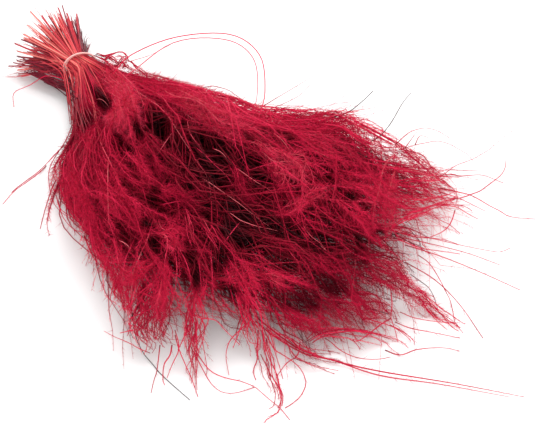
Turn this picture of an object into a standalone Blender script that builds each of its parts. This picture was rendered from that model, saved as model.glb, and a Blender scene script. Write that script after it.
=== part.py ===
"""A bunch of dyed, dried feather grass lying on its side, held near the cut ends by a doubled rubber band.

The bunch runs along +X, from the cut straws to the plume tips, and rests on the plane z = 0.
Every spray is three straws that become two feathered plumes. The sprays keep their order from
the cut ends to the tips: a point of the bunch is given by its distance x along the axis and by
its place (u, v) in the round bundle, and one smooth flow takes it to its place in the fan.
"""

import math
import random

import bmesh
import bpy
import numpy as np

# Driving dimensions, in metres.
SPRAY_COUNT = 40
BUNDLE_RADIUS = 0.0100
BUNDLE_HALF_HEIGHT = 0.0080
BUNDLE_HEIGHT = 0.0262
STRAW_RADIUS = 0.00060
TRUNK_RADIUS = 0.00090
BUTT_LENGTH = 0.053
BUTT_SPREAD = 0.030
BUTT_RISE = 0.020
NEAR_HALF_WIDTH = 0.113
FAR_HALF_WIDTH = 0.128
FAN_HALF_HEIGHT = 0.034
FAN_REACH = 0.362
BLADE_THICKNESS = 0.0006
BAND_SECTION = 0.0008
SEED = 21

# Shape of the flow: how the fan opens on each side of its axis, and where it sinks again.
NECK_HALF_LENGTH = 0.0055
AXIS_SHIFT, AXIS_SHIFT_LENGTH = -0.018, 0.220
BUTT_TURN = 0.24
NEAR_SCALE, NEAR_POWER = 0.084, 1.32
FAR_SCALE, FAR_POWER = 0.155, 1.7
SPLAY, SPLAY_START, SPLAY_LENGTH = 0.024, 0.170, 0.100
HEIGHT_SCALE, HEIGHT_POWER = 0.062, 1.5
SETTLE_LENGTH = 0.070
FLOOR_RIM = 0.13
SINK_START, SINK_LENGTH, SINK_SHARE = 0.190, 0.190, 0.62

# The common drift: the push of each wave in metres, its radians per metre along x, y and z, and
# its phase. It grows from where the fan starts to open, and does not lift what lies on the floor.
DRIFT_START, DRIFT_LENGTH = 0.020, 0.120
LIFT_FLOOR, LIFT_HEIGHT = 0.002, 0.030
DRIFT_WAVES = (
    ((0.0, 0.0075, 0.0), (29.4, 20.0, 0.0), 0.6),
    ((0.0, 0.0045, 0.0), (52.6, 0.0, -83.3), 0.0),
    ((0.0, 0.0, 0.0050), (34.5, -38.5, 0.0), 1.9),
    ((0.0, 0.0, 0.0030), (47.6, 58.8, 0.0), 0.0),
    ((0.0100, 0.0, 0.0), (0.0, 33.3, 0.0), 0.8),
    ((0.0060, 0.0, 0.0), (0.0, 22.2, 100.0), 0.0),
)

# A spray: its straws and trunk, and the share of the bundle's unit disc that its plumes take.
OUTERMOST_SPRAY = 0.94
STRAW_SPACING = 0.036
STRAW_START = -0.0105
STRAW_LENGTH_RANGE = (0.84, 1.16)
TRUNK_X = (-0.014, -NECK_HALF_LENGTH, NECK_HALF_LENGTH, 0.022, 0.046, 0.064)
TRUNK_TAPER = (1.32, 1.0, 1.0, 1.15, 1.1, 0.55)
PLUME_START = 0.050
PLUME_ROOT_OFFSET = 0.010
PLUME_OFFSET = 0.056
PLUME_PARTING = 0.100
PLUME_LEAN = 0.02
PLUME_END_RANGE = (0.88, 1.04)
SHORT_PLUME_RANGE = (0.84, 0.97)
NEAR_TIP_DROP, FAR_TIP_DROP = 0.33, 0.20
BARB_ROWS = 5
BARB_ROOT = 0.30
BARB_RUN = 0.046
BARB_LENGTH_RANGE = (0.7, 1.1)
BARB_REACH = 0.060
INNER_BARB_REACH = 0.92 * PLUME_OFFSET
BARB_LIFT = 0.018
RIB_HALF_WIDTH = 0.00045
GOLDEN_ANGLE = math.pi * (3.0 - math.sqrt(5.0))

# Long bare awns that leave the bunch: spray number, plume side (0 is the trunk), the row of the
# rib or point of the trunk where the awn is rooted, and the points that it then passes, in
# metres from the middle of the band.
AWN_RADIUS = 0.0004
AWN_STEPS = 2
STRAY_AWNS = (
    (33, 0, 4, ((0.056, 0.006, 0.056), (0.078, 0.030, 0.070), (0.108, 0.054, 0.075),
                (0.142, 0.050, 0.075), (0.174, 0.024, 0.072))),
    (29, -1, 5, ((0.317, -0.062, 0.0025), (0.346, -0.056, 0.0025), (0.386, -0.034, 0.0025),
                 (0.421, -0.016, 0.0025))),
    (39, 0, 4, ((0.060, -0.076, 0.009), (0.067, -0.102, 0.005), (0.076, -0.127, 0.0025))),
    (39, -1, 2, ((0.124, -0.120, 0.005), (0.133, -0.139, 0.0025))),
    (35, 1, 3, ((0.192, 0.102, 0.017), (0.214, 0.119, 0.020), (0.242, 0.133, 0.019),
                (0.272, 0.139, 0.012), (0.290, 0.146, 0.006))),
    (35, 1, 5, ((0.272, 0.101, 0.010), (0.300, 0.104, 0.010), (0.322, 0.106, 0.009),
                (0.344, 0.115, 0.006))),
    (32, 1, 5, ((0.302, 0.058, 0.003), (0.332, 0.060, 0.003), (0.354, 0.051, 0.003),
                (0.374, 0.055, 0.0025))),
    (34, -1, 5, ((0.272, -0.140, 0.002), (0.288, -0.146, 0.002), (0.302, -0.140, 0.002))),
    (34, 1, 5, ((0.304, -0.111, 0.002), (0.324, -0.117, 0.002), (0.341, -0.107, 0.002))),
)

BAND_TURNS, BAND_STEPS = 2, 40
BAND_CLEARANCE = 0.0004
BAND_TWIST_GAP = 0.0001
BAND_TILT = 0.36

CRIMSON = (0.36, 0.006, 0.030, 1.0)
CORAL = (0.72, 0.12, 0.12, 1.0)
BAND_PINK = (0.80, 0.42, 0.40, 1.0)
CORAL_END = 0.030


def clear_scene():
    """Removes whatever the start-up file holds."""
    for obj in list(bpy.data.objects):
        bpy.data.objects.remove(obj, do_unlink=True)


def new_collection(name):
    collection = bpy.data.collections.new(name)
    bpy.context.scene.collection.children.link(collection)
    return collection


def new_material(name, colour, roughness):
    material = bpy.data.materials.new(name)
    material.use_nodes = True
    shader = material.node_tree.nodes["Principled BSDF"]
    shader.inputs["Base Color"].default_value = colour
    shader.inputs["Roughness"].default_value = roughness
    shader.inputs["Metallic"].default_value = 0.0
    return material


def smooth_step(t):
    t = np.clip(t, 0.0, 1.0)
    return t * t * (3.0 - 2.0 * t)


def opening(ahead, scale, power):
    """Share of the way from bound to fully open, at a distance ahead of the band."""
    return 1.0 - np.exp(-((ahead / scale) ** power))


def flow(x, u, v):
    """Where the bundle's point (u, v) of the unit disc lies at distance x from the band.

    At the band the section is an oval. Away from it the section widens into a fan, more on its near
    side, u < 0, and its underside is flat on the floor: z rises from there by the height of the
    point above the disc's rim. In the fan y follows the share of the disc that lies below u, so
    the fan is filled evenly. Behind the band every point runs straight, so that straight straws
    never cross: the section widens, turns towards the far side and comes down to the floor.
    """
    x, u, v = np.broadcast_arrays(*(np.asarray(n, float) for n in (x, u, v)))
    ahead = np.clip(x - NECK_HALF_LENGTH, 0.0, None)
    behind = np.clip(-x - NECK_HALF_LENGTH, 0.0, None) / BUTT_LENGTH
    near = (NEAR_HALF_WIDTH - BUNDLE_RADIUS) * opening(ahead, NEAR_SCALE, NEAR_POWER)
    near = near + SPLAY * smooth_step((ahead - SPLAY_START) / SPLAY_LENGTH)
    far = (FAR_HALF_WIDTH - BUNDLE_RADIUS) * opening(ahead, FAR_SCALE, FAR_POWER)
    rim = np.sqrt(np.clip(1.0 - u * u, 0.0, None))
    even_u = (np.arcsin(np.clip(u, -1.0, 1.0)) + u * rim) * 2.0 / math.pi
    y = (BUNDLE_RADIUS + BUTT_SPREAD * behind) * u + np.where(u < 0.0, near, far) * even_u
    y = y + AXIS_SHIFT * smooth_step(ahead / AXIS_SHIFT_LENGTH) + BUTT_TURN * BUTT_LENGTH * behind
    raised = (FAN_HALF_HEIGHT - BUNDLE_HALF_HEIGHT) * opening(ahead, HEIGHT_SCALE, HEIGHT_POWER)
    height = BUNDLE_HALF_HEIGHT + raised
    height = height * (1.0 - SINK_SHARE * smooth_step((ahead - SINK_START) / SINK_LENGTH))
    above_rim = np.clip(v + rim - FLOOR_RIM, 0.0, None)
    round_z = BUNDLE_HEIGHT + height * v
    flat_z = BLADE_THICKNESS / 2.0 + height * above_rim
    butt_z = BLADE_THICKNESS / 2.0 + (BUNDLE_HALF_HEIGHT + BUTT_RISE) * above_rim
    z = round_z + smooth_step(ahead / SETTLE_LENGTH) * (flat_z - round_z)
    points = np.stack([x, y, z + behind * (butt_z - round_z)], axis=-1)
    return points + drift(points)


def drift(points):
    """A gentle common wave that bends neighbouring sprays alike, so that none of them cross."""
    grown = smooth_step((points[..., :1] - DRIFT_START) / DRIFT_LENGTH)
    off_floor = smooth_step((points[..., 2] - LIFT_FLOOR) / LIFT_HEIGHT)
    moved = sum(np.sin(points @ np.array(wave) + phase)[..., None] * np.array(push)
                for push, wave, phase in DRIFT_WAVES)
    moved[..., 2] *= off_floor
    return grown * moved


def bundle_places(count):
    """Even places in the unit disc, spiralling out from its centre."""
    share = (np.arange(count) + 0.5) / count
    angle = np.arange(count) * GOLDEN_ANGLE
    return np.sqrt(share) * np.cos(angle), np.sqrt(share) * np.sin(angle)


def mesh_object(name, mesh, collection):
    obj = bpy.data.objects.new(name, mesh)
    collection.objects.link(obj)
    return obj


def baked(obj):
    """The object as its modifiers or bevel leave it, as a new mesh with its caps welded on."""
    graph = bpy.context.evaluated_depsgraph_get()
    mesh = bpy.data.meshes.new_from_object(obj.evaluated_get(graph))
    welded = bmesh.new()
    welded.from_mesh(mesh)
    bmesh.ops.remove_doubles(welded, verts=welded.verts, dist=1e-6)
    bmesh.ops.recalc_face_normals(welded, faces=welded.faces)
    welded.to_mesh(mesh)
    welded.free()
    bpy.data.objects.remove(obj, do_unlink=True)
    return mesh


def tube(name, points, radii, collection, bevel_resolution=0):
    """A tapered stem along the points: a poly curve with a round bevel and filled caps."""
    curve = bpy.data.curves.new(name, "CURVE")
    curve.dimensions = "3D"
    curve.bevel_depth = 1.0
    curve.bevel_resolution = bevel_resolution
    curve.use_fill_caps = True
    spline = curve.splines.new("POLY")
    spline.points.add(len(points) - 1)
    spline.points.foreach_set("co", np.column_stack([points, np.ones(len(points))]).ravel())
    spline.points.foreach_set("radius", radii)
    drawn = mesh_object(name + "_line", curve, collection)
    return mesh_object(name, baked(drawn), collection)


def plume_rows(spray, side):
    """Distances x of a plume's rows of barbs, and the places (u, v) of its rib there.

    The two plumes of a spray part slowly, and one of them is the shorter.
    """
    end = spray["tip"] * (1.0 if side > 0 else spray["short"])
    x = np.linspace(PLUME_START, end, BARB_ROWS + 2)
    apart = smooth_step((x - PLUME_START) / PLUME_PARTING)
    u = spray["u"] + side * (PLUME_ROOT_OFFSET + PLUME_OFFSET * apart)
    return x, u, spray["v"] + spray["lean"] * side * apart


def feather(name, spray, side, collection, rng):
    """One plume: a thin blade cut to its rib on both edges, with long forward-swept barbs.

    The barbs of an edge run parallel in flow coordinates, so they never cross. The blade is an
    open surface, split into triangles before Solidify thickens it, so both faces split alike.
    """
    along, rib_u, rib_v = plume_rows(spray, side)
    parted = PLUME_START + 0.7 * PLUME_PARTING
    shape = bmesh.new()
    middle = flow(along, rib_u, rib_v)
    half = RIB_HALF_WIDTH * np.linspace(1.0, 0.6, BARB_ROWS + 1)[:, None] * np.array([0.0, 1.0, 0.0])
    edges = [[shape.verts.new(p) for p in middle[:-1] + way * half] for way in (-1, 1)]
    point = shape.verts.new(middle[-1])
    for row in range(BARB_ROWS):
        roots = []
        for way, edge in zip((-1, 1), edges):
            low, high = edge[row], edge[row + 1]
            reach = BARB_REACH if way == side else INNER_BARB_REACH
            if way != side and along[row] < parted:
                roots.append(None)
                continue
            root = shape.verts.new(low.co.lerp(high.co, BARB_ROOT))
            length = min(rng.uniform(*BARB_LENGTH_RANGE), (along[-1] - along[row]) / BARB_RUN)
            tip_x = along[row] + BARB_RUN * length
            tip_u = np.interp(tip_x, along, rib_u) + way * reach * length
            tip_v = np.interp(tip_x, along, rib_v) + rng.uniform(-BARB_LIFT, BARB_LIFT)
            tip = shape.verts.new(flow(tip_x, tip_u, tip_v))
            shape.faces.new([low, root, tip])
            roots.append(root)
        (low_l, high_l), (low_r, high_r) = (edge[row:row + 2] for edge in edges)
        outline = [low_l, roots[0], high_l, high_r, roots[1], low_r]
        rib_strip(shape, [corner for corner in outline if corner])
    shape.faces.new([edges[0][-1], edges[1][-1], point])
    mesh = bpy.data.meshes.new(name)
    bmesh.ops.recalc_face_normals(shape, faces=shape.faces)
    shape.to_mesh(mesh)
    shape.free()
    blade = mesh_object(name + "_sheet", mesh, collection)
    solidify = blade.modifiers.new("thickness", "SOLIDIFY")
    solidify.thickness = BLADE_THICKNESS
    solidify.offset = 0.0
    return mesh_object(name, baked(blade), collection)


def rib_strip(shape, outline):
    """The piece of rib between two rows, as triangles fanned from its upper left corner."""
    first = len(outline) // 2 - 1 if len(outline) > 4 else 0
    ring = outline[first:] + outline[:first]
    for second, third in zip(ring[1:-1], ring[2:]):
        shape.faces.new([ring[0], second, third])


def straws(spray, collection, rng):
    """Three cut straws, from inside the trunk's flared end back to the ragged butt.

    The lowest of them lie on the floor.
    """
    made = []
    for turn in range(3):
        angle = spray["turn"] + turn * 2.0 * math.pi / 3.0
        u = spray["u"] + STRAW_SPACING * math.cos(angle)
        v = spray["v"] + STRAW_SPACING * math.sin(angle)
        end = -BUTT_LENGTH * rng.uniform(*STRAW_LENGTH_RANGE)
        path = flow(np.array([STRAW_START, end]), u, v)
        path[:, 2] = np.maximum(path[:, 2], STRAW_RADIUS)
        made.append(tube(f"straw_{turn}", path, [STRAW_RADIUS] * 2, collection))
    return made


def trunk(name, spray, collection):
    """The fused middle of a spray: flared where its straws enter, slim where its plumes part."""
    path = flow(TRUNK_X, spray["u"], spray["v"])
    return tube(name, path, TRUNK_RADIUS * np.array(TRUNK_TAPER), collection, bevel_resolution=1)


def smooth_path(points, steps):
    """The points with steps - 1 more between each pair, on the Catmull-Rom curve through them."""
    points = np.asarray(points)
    before, first = 2.0 * points[:1] - points[1:2], points[:-1]
    after, second = 2.0 * points[-1:] - points[-2:-1], points[1:]
    previous, following = np.vstack([before, points[:-2]]), np.vstack([points[2:], after])
    path = []
    for t in np.arange(steps) / steps:
        path.append(0.5 * (2.0 * first + (second - previous) * t
                           + (2.0 * previous - 5.0 * first + 4.0 * second - following) * t**2
                           + (3.0 * first - previous - 3.0 * second + following) * t**3))
    return np.vstack([np.stack(path, axis=1).reshape(-1, 3), points[-1:]])


def stray_awns(index, spray, collection):
    """The long bare awns of a spray, rooted in its trunk or in the rib of one of its plumes."""
    for number, side, row, points in STRAY_AWNS:
        if number != index:
            continue
        x, u, v = plume_rows(spray, side) if side else (TRUNK_X, spray["u"], spray["v"])
        path = smooth_path([flow(x, u, v)[row], *points], AWN_STEPS)
        tube("awn", path, np.full(len(path), AWN_RADIUS), collection)


def fused(name, body, pieces, collection):
    """Body and pieces as one solid, by a Boolean union on the pieces' own collection."""
    joint = body.modifiers.new("union", "BOOLEAN")
    joint.operation = "UNION"
    joint.solver = "MANIFOLD"
    joint.operand_type = "COLLECTION"
    joint.collection = pieces
    obj = mesh_object(name, baked(body), collection)
    for piece in list(pieces.objects):
        bpy.data.objects.remove(piece, do_unlink=True)
    return obj


def build_spray(index, place, collection, materials, rng):
    """One node: three straws, their trunk and two plumes, coral behind and crimson ahead."""
    u, v = place
    drop = NEAR_TIP_DROP * u**4 if u < 0.0 else FAR_TIP_DROP * u
    spray = {
        "u": u * OUTERMOST_SPRAY,
        "v": v * OUTERMOST_SPRAY,
        "turn": rng.uniform(0.0, 2.0 * math.pi),
        "lean": rng.uniform(-PLUME_LEAN, PLUME_LEAN),
        "short": rng.uniform(*SHORT_PLUME_RANGE),
        "tip": FAN_REACH * (1.0 - drop) * rng.uniform(*PLUME_END_RANGE),
    }
    pieces = new_collection("pieces")
    straws(spray, pieces, rng)
    for side in (-1, 1):
        feather(f"plume_{side}", spray, side, pieces, rng)
    stray_awns(index, spray, pieces)
    obj = fused(f"spray_{index:02d}", trunk("trunk", spray, collection), pieces, collection)
    bpy.data.collections.remove(pieces)
    for material in materials:
        obj.data.materials.append(material)
    for face in obj.data.polygons:
        face.material_index = int(face.center.x < CORAL_END)
    return obj


def build_band(collection, material):
    """A rubber band doubled round the straws: two turns that twist past each other once.

    It sits askew, farther along the bunch on the far side.
    """
    apart = BAND_SECTION + BAND_TWIST_GAP
    around = TRUNK_RADIUS + BAND_CLEARANCE + BAND_SECTION
    angle = np.linspace(0.0, BAND_TURNS * 2.0 * math.pi, BAND_STEPS, endpoint=False)
    around = around + apart * (1.0 + np.sin(angle / 2.0))
    half_width = BUNDLE_RADIUS * OUTERMOST_SPRAY + around
    half_height = BUNDLE_HALF_HEIGHT * OUTERMOST_SPRAY + around
    points = np.column_stack([
        apart * np.cos(angle / 2.0) + BAND_TILT * half_width * np.cos(angle),
        half_width * np.cos(angle),
        BUNDLE_HEIGHT + half_height * np.sin(angle),
        np.ones(BAND_STEPS),
    ])
    curve = bpy.data.curves.new("band", "CURVE")
    curve.dimensions = "3D"
    curve.bevel_depth = BAND_SECTION
    curve.bevel_resolution = 1
    spline = curve.splines.new("POLY")
    spline.points.add(BAND_STEPS - 1)
    spline.points.foreach_set("co", points.ravel())
    spline.use_cyclic_u = True
    obj = mesh_object("band", curve, collection)
    obj.data.materials.append(material)
    return obj


def centre_on_origin(objects):
    """Parents the pieces to an empty that brings the bottom centre of their box to the origin."""
    bpy.context.view_layer.update()
    corners = np.array([obj.matrix_world @ v.co for obj in objects if obj.type == "MESH"
                        for v in obj.data.vertices])
    low, high = corners.min(axis=0), corners.max(axis=0)
    empty = bpy.data.objects.new("bunch", None)
    bpy.context.scene.collection.objects.link(empty)
    empty.location = (-(low[0] + high[0]) / 2.0, -(low[1] + high[1]) / 2.0, -low[2])
    for obj in objects:
        obj.parent = empty


def main():
    clear_scene()
    rng = random.Random(SEED)
    bunch = new_collection("feather_grass")
    grass = [new_material("dyed_plume", CRIMSON, 0.7), new_material("dyed_straw", CORAL, 0.5)]
    places = zip(*bundle_places(SPRAY_COUNT))
    objects = [build_spray(i + 1, place, bunch, grass, rng) for i, place in enumerate(places)]
    objects.append(build_band(bunch, new_material("rubber_band", BAND_PINK, 0.45)))
    centre_on_origin(objects)


main()
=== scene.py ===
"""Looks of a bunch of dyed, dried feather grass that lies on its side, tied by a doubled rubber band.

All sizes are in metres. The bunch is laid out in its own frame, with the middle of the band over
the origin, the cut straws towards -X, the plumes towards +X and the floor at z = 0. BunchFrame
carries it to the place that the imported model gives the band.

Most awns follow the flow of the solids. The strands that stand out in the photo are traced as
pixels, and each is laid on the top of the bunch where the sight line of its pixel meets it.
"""

import logging
import math
from dataclasses import dataclass, field, replace
from enum import IntEnum
from typing import Callable

import bpy
import numpy as np
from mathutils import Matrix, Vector


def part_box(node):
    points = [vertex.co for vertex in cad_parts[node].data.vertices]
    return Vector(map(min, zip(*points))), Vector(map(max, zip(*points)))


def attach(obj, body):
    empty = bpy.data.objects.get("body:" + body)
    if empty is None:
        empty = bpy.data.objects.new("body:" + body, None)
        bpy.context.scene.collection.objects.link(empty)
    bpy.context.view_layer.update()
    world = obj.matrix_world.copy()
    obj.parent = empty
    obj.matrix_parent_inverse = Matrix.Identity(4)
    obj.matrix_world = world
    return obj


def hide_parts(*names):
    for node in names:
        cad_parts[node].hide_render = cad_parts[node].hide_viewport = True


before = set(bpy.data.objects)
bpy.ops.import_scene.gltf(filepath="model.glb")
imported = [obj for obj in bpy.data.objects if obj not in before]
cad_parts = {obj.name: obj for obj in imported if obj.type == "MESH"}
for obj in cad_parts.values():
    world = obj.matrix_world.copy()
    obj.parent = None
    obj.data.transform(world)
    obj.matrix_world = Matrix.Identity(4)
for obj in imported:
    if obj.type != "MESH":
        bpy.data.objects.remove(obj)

LOG = logging.getLogger("feather_grass")
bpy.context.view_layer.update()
GOLDEN_ANGLE = math.pi * (3.0 - math.sqrt(5.0))
STRAND_MAP = "OFBake"
TONE_STRIP = (0.02, 0.98)
SPRAY_COUNT = 40
OUTERMOST = 0.94
SEED = 21
Array = np.ndarray
Range = tuple[float, float]
Triple = tuple[float, float, float]
Pixels = tuple[Range, ...]


class Finish(IntEnum):
    """Which part of a grass piece a surface is: its material slot and its strip of the strand map."""

    STRAW = 0
    AWN = 1
    HAIR = 2

    def strip(self) -> Range:
        """Returns the lowest and highest V of this finish on the strand map."""
        return 0.01 + 0.33 * self.value, 0.32 + 0.33 * self.value


def smooth_step(t: Array) -> Array:
    """Returns 3t^2 - 2t^3, with t held between 0 and 1."""
    t = np.clip(t, 0.0, 1.0)
    return t * t * (3.0 - 2.0 * t)


def risen(value: Array, start: float, length: float) -> Array:
    """Returns the smooth step of how far value is past start, as a share of length."""
    return smooth_step((value - start) / length)


def squeezed(share: Array, least: float) -> Array:
    """Returns least + (1 - least) share: a share of 0 to 1, squeezed to run from least to 1."""
    return least + (1.0 - least) * share


def map_u(tones: Array) -> Array:
    """Returns the places U on the strand map of tones from 0 to 1."""
    low, high = TONE_STRIP
    return low + (high - low) * np.clip(tones, 0.0, 1.0)


def unit(vectors: Array) -> Array:
    """Returns the vectors along the last axis, each divided by its length."""
    return vectors / np.maximum(np.linalg.norm(vectors, axis=-1, keepdims=True), 1e-12)


def smooth_path(points: Array, steps: int) -> Array:
    """Puts more points between the given ones, on the Catmull-Rom curve through them.

    Args:
        points: Given points, (n, 2) or (n, 3).
        steps: How many stretches each gap is cut into.

    Returns:
        The points of the curve, (n - 1) * steps + 1 of them.
    """
    points = np.asarray(points, float)
    before, first = 2.0 * points[:1] - points[1:2], points[:-1]
    after, second = 2.0 * points[-1:] - points[-2:-1], points[1:]
    previous, following = np.vstack([before, points[:-2]]), np.vstack([points[2:], after])
    t = (np.arange(steps) / steps)[None, :, None]
    a, b, c, d = (n[:, None, :] for n in (previous, first, second, following))
    path = 0.5 * (2.0 * b + (c - a) * t + (2.0 * a - 5.0 * b + 4.0 * c - d) * t**2
                  + (3.0 * b - a - 3.0 * c + d) * t**3)
    return np.vstack([path.reshape(-1, points.shape[1]), points[-1:]])


def read_along(path: Array, shares: Array) -> Array:
    """Reads a path at shares of its length.

    Args:
        path: Points, (k, d).
        shares: Shares of the length, of any shape.

    Returns:
        Points, of the shape of shares and (d,).
    """
    length = np.concatenate([[0.0], np.cumsum(np.linalg.norm(np.diff(path, axis=0), axis=-1))])
    at = shares * length[-1]
    return np.stack([np.interp(at, length, column) for column in path.T], axis=-1)


@dataclass(frozen=True)
class Flow:
    """The rule that carries the round bundle into the fan. It is the rule of the solids."""

    bundle_radius: float = 0.0100
    bundle_half_height: float = 0.0080
    bundle_height: float = 0.0262
    butt_length: float = 0.053
    butt_spread: float = 0.030
    butt_rise: float = 0.020
    butt_turn: float = 0.24
    near_half_width: float = 0.113
    far_half_width: float = 0.128
    half_height: float = 0.034
    neck: float = 0.0055
    axis_shift: Range = (-0.018, 0.220)
    near_opening: Range = (0.084, 1.32)
    far_opening: Range = (0.155, 1.7)
    height_opening: Range = (0.062, 1.5)
    splay: Triple = (0.024, 0.170, 0.100)
    sink: Triple = (0.190, 0.190, 0.62)
    settle_length: float = 0.070
    floor_rim: float = 0.13
    floor_gap: float = 0.0003
    drift_start: Range = (0.020, 0.120)
    lift: Range = (0.002, 0.030)
    drift_waves: tuple = (  # push in metres, radians per metre along x, y and z, and phase
        ((0.0, 0.0075, 0.0), (29.4, 20.0, 0.0), 0.6),
        ((0.0, 0.0045, 0.0), (52.6, 0.0, -83.3), 0.0),
        ((0.0, 0.0, 0.0050), (34.5, -38.5, 0.0), 1.9),
        ((0.0, 0.0, 0.0030), (47.6, 58.8, 0.0), 0.0),
        ((0.0100, 0.0, 0.0), (0.0, 33.3, 0.0), 0.8),
        ((0.0060, 0.0, 0.0), (0.0, 22.2, 100.0), 0.0),
    )

    @staticmethod
    def opened(ahead: Array, scale: float, power: float) -> Array:
        """Returns 1 - exp(-(ahead / scale)^power), the share of the way from bound to open."""
        return 1.0 - np.exp(-((ahead / scale) ** power))

    def drift(self, points: Array) -> Array:
        """Sums the sine waves that bend neighbouring strands alike.

        Args:
            points: Places in the bunch's frame, (..., 3).

        Returns:
            How far each place is moved, (..., 3).
        """
        grown = risen(points[..., :1], *self.drift_start)
        off_floor = risen(points[..., 2], *self.lift)
        moved = sum(np.sin(points @ np.array(wave) + phase)[..., None] * np.array(push)
                    for push, wave, phase in self.drift_waves)
        moved[..., 2] *= off_floor
        return grown * moved

    def height(self, x: Array) -> Array:
        """Returns half the height of the bunch at distance x: it opens, then sinks to its tips."""
        ahead = np.clip(x - self.neck, 0.0, None)
        opened = self.opened(ahead, *self.height_opening)
        height = self.bundle_half_height + (self.half_height - self.bundle_half_height) * opened
        return height * (1.0 - self.sink[2] * risen(ahead, *self.sink[:2]))

    def place(self, x: Array, u: Array, v: Array) -> Array:
        """Says where the bundle's point (u, v) of the unit disc lies at distance x from the band.

        Ahead of the band y is the half width at x times the share of the disc that lies below u,
        and z goes over from an oval section about the bundle's height to a height above the floor
        that follows the point's height above the disc's rim. Behind it every point runs straight.

        Args:
            x: Distance from the band, positive towards the plumes.
            u: Place across the bundle, from -1 (near) to 1 (far).
            v: Place up the bundle, from -1 to 1.

        Returns:
            Points in the bunch's frame, (..., 3).
        """
        x, u, v = np.broadcast_arrays(*(np.asarray(n, float) for n in (x, u, v)))
        ahead = np.clip(x - self.neck, 0.0, None)
        behind = np.clip(-x - self.neck, 0.0, None) / self.butt_length
        radius = self.bundle_radius
        near = (self.near_half_width - radius) * self.opened(ahead, *self.near_opening)
        near = near + self.splay[0] * risen(ahead, *self.splay[1:])
        far = (self.far_half_width - radius) * self.opened(ahead, *self.far_opening)
        rim = np.sqrt(np.clip(1.0 - u * u, 0.0, None))
        even_u = (np.arcsin(np.clip(u, -1.0, 1.0)) + u * rim) * 2.0 / math.pi
        y = (radius + self.butt_spread * behind) * u + np.where(u < 0.0, near, far) * even_u
        y = y + self.axis_shift[0] * smooth_step(ahead / self.axis_shift[1])
        y = y + self.butt_turn * self.butt_length * behind
        height, above_rim = self.height(x), np.clip(v + rim - self.floor_rim, 0.0, None)
        round_z = self.bundle_height + height * v
        flat_z = self.floor_gap + height * above_rim
        butt_z = self.floor_gap + (self.bundle_half_height + self.butt_rise) * above_rim
        z = round_z + smooth_step(ahead / self.settle_length) * (flat_z - round_z)
        points = np.stack([x, y, z + behind * (butt_z - round_z)], axis=-1)
        return points + self.drift(points)


@dataclass(frozen=True)
class PhotoView:
    """The camera of the photo, in the bunch's frame: turns pixels into places and back."""

    azimuth: float = math.radians(45.39)
    elevation: float = math.radians(39.21)
    distance: float = 0.743
    aim: Triple = (0.222, -0.0187, 0.020)
    focal_pixels: float = 1161.0
    width: int = 540
    height: int = 430
    sensor_width: float = 36.0

    def axes(self) -> Array:
        """Returns the directions right, up and back towards the camera, as rows."""
        a, e = self.azimuth, self.elevation
        back = np.array([math.sin(a) * math.cos(e), -math.cos(a) * math.cos(e), math.sin(e)])
        right = np.array([math.cos(a), math.sin(a), 0.0])
        return np.stack([right, np.cross(back, right), back])

    def position(self) -> Array:
        """Returns where the camera stands."""
        return np.array(self.aim) + self.distance * self.axes()[2]

    def lens(self) -> float:
        """Returns the focal length in millimetres."""
        return self.focal_pixels * self.sensor_width / self.width

    def seen_at(self, points: Array) -> Array:
        """Returns the pixels at which points, (..., 3), are seen, (..., 2)."""
        across, up, back = np.moveaxis((points - self.position()) @ self.axes().T, -1, 0)
        return np.stack([self.width / 2.0 - self.focal_pixels * across / back,
                         self.height / 2.0 + self.focal_pixels * up / back], axis=-1)

    def sight_lines(self, pixels: Array) -> Array:
        """Returns a direction for each pixel, (..., 3), one metre deep along the view."""
        right, up, back = self.axes()
        x = (pixels[..., :1] - self.width / 2.0) / self.focal_pixels
        y = (pixels[..., 1:] - self.height / 2.0) / self.focal_pixels
        return x * right - y * up - back

    def at_height(self, pixels: Array, z: Array) -> Array:
        """Returns the points of the pixels' sight lines at heights z over the floor."""
        lines, camera = self.sight_lines(pixels), self.position()
        return camera + lines * ((z - camera[2]) / lines[..., 2])[..., None]


class Canopy:
    """The top of the bunch: a grid of heights over the floor, read from the strands below it."""

    cell = 0.004
    corner = (-0.080, -0.190)
    shape = (132, 96)
    filling_rank = 5
    smoothings = 2

    def __init__(self, points: Array) -> None:
        """Takes the highest point of each cell, fills the holes between and smooths it all.

        A hole takes the height of filling_rank among the nine cells round it, from the lowest up.

        Args:
            points: Points of strands, (n, 3).
        """
        cells = ((points[:, :2] - self.corner) / self.cell).astype(int)
        cells = np.clip(cells, 0, np.array(self.shape) - 1)
        top = np.zeros(self.shape)
        np.maximum.at(top, (cells[:, 0], cells[:, 1]), points[:, 2])
        around = [np.roll(top, (i, j), axis=(0, 1)) for i in (-1, 0, 1) for j in (-1, 0, 1)]
        filled = np.where(top > 0.0, top, np.sort(around, axis=0)[self.filling_rank])
        for _ in range(self.smoothings):
            for axis in (0, 1):
                beside = np.roll(filled, 1, axis=axis) + np.roll(filled, -1, axis=axis)
                filled = 0.5 * filled + 0.25 * beside
        self.top = filled

    def height(self, points: Array) -> Array:
        """Returns the height of the top over points, (...), between the four nearest cells."""
        at = (points[..., :2] - self.corner) / self.cell - 0.5
        at = np.clip(at, 0.0, np.array(self.shape) - 1.001)
        i, j = at[..., 0].astype(int), at[..., 1].astype(int)
        s, t = at[..., 0] - i, at[..., 1] - j
        low = self.top[i, j] * (1.0 - t) + self.top[i, j + 1] * t
        high = self.top[i + 1, j] * (1.0 - t) + self.top[i + 1, j + 1] * t
        return low * (1.0 - s) + high * s


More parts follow.
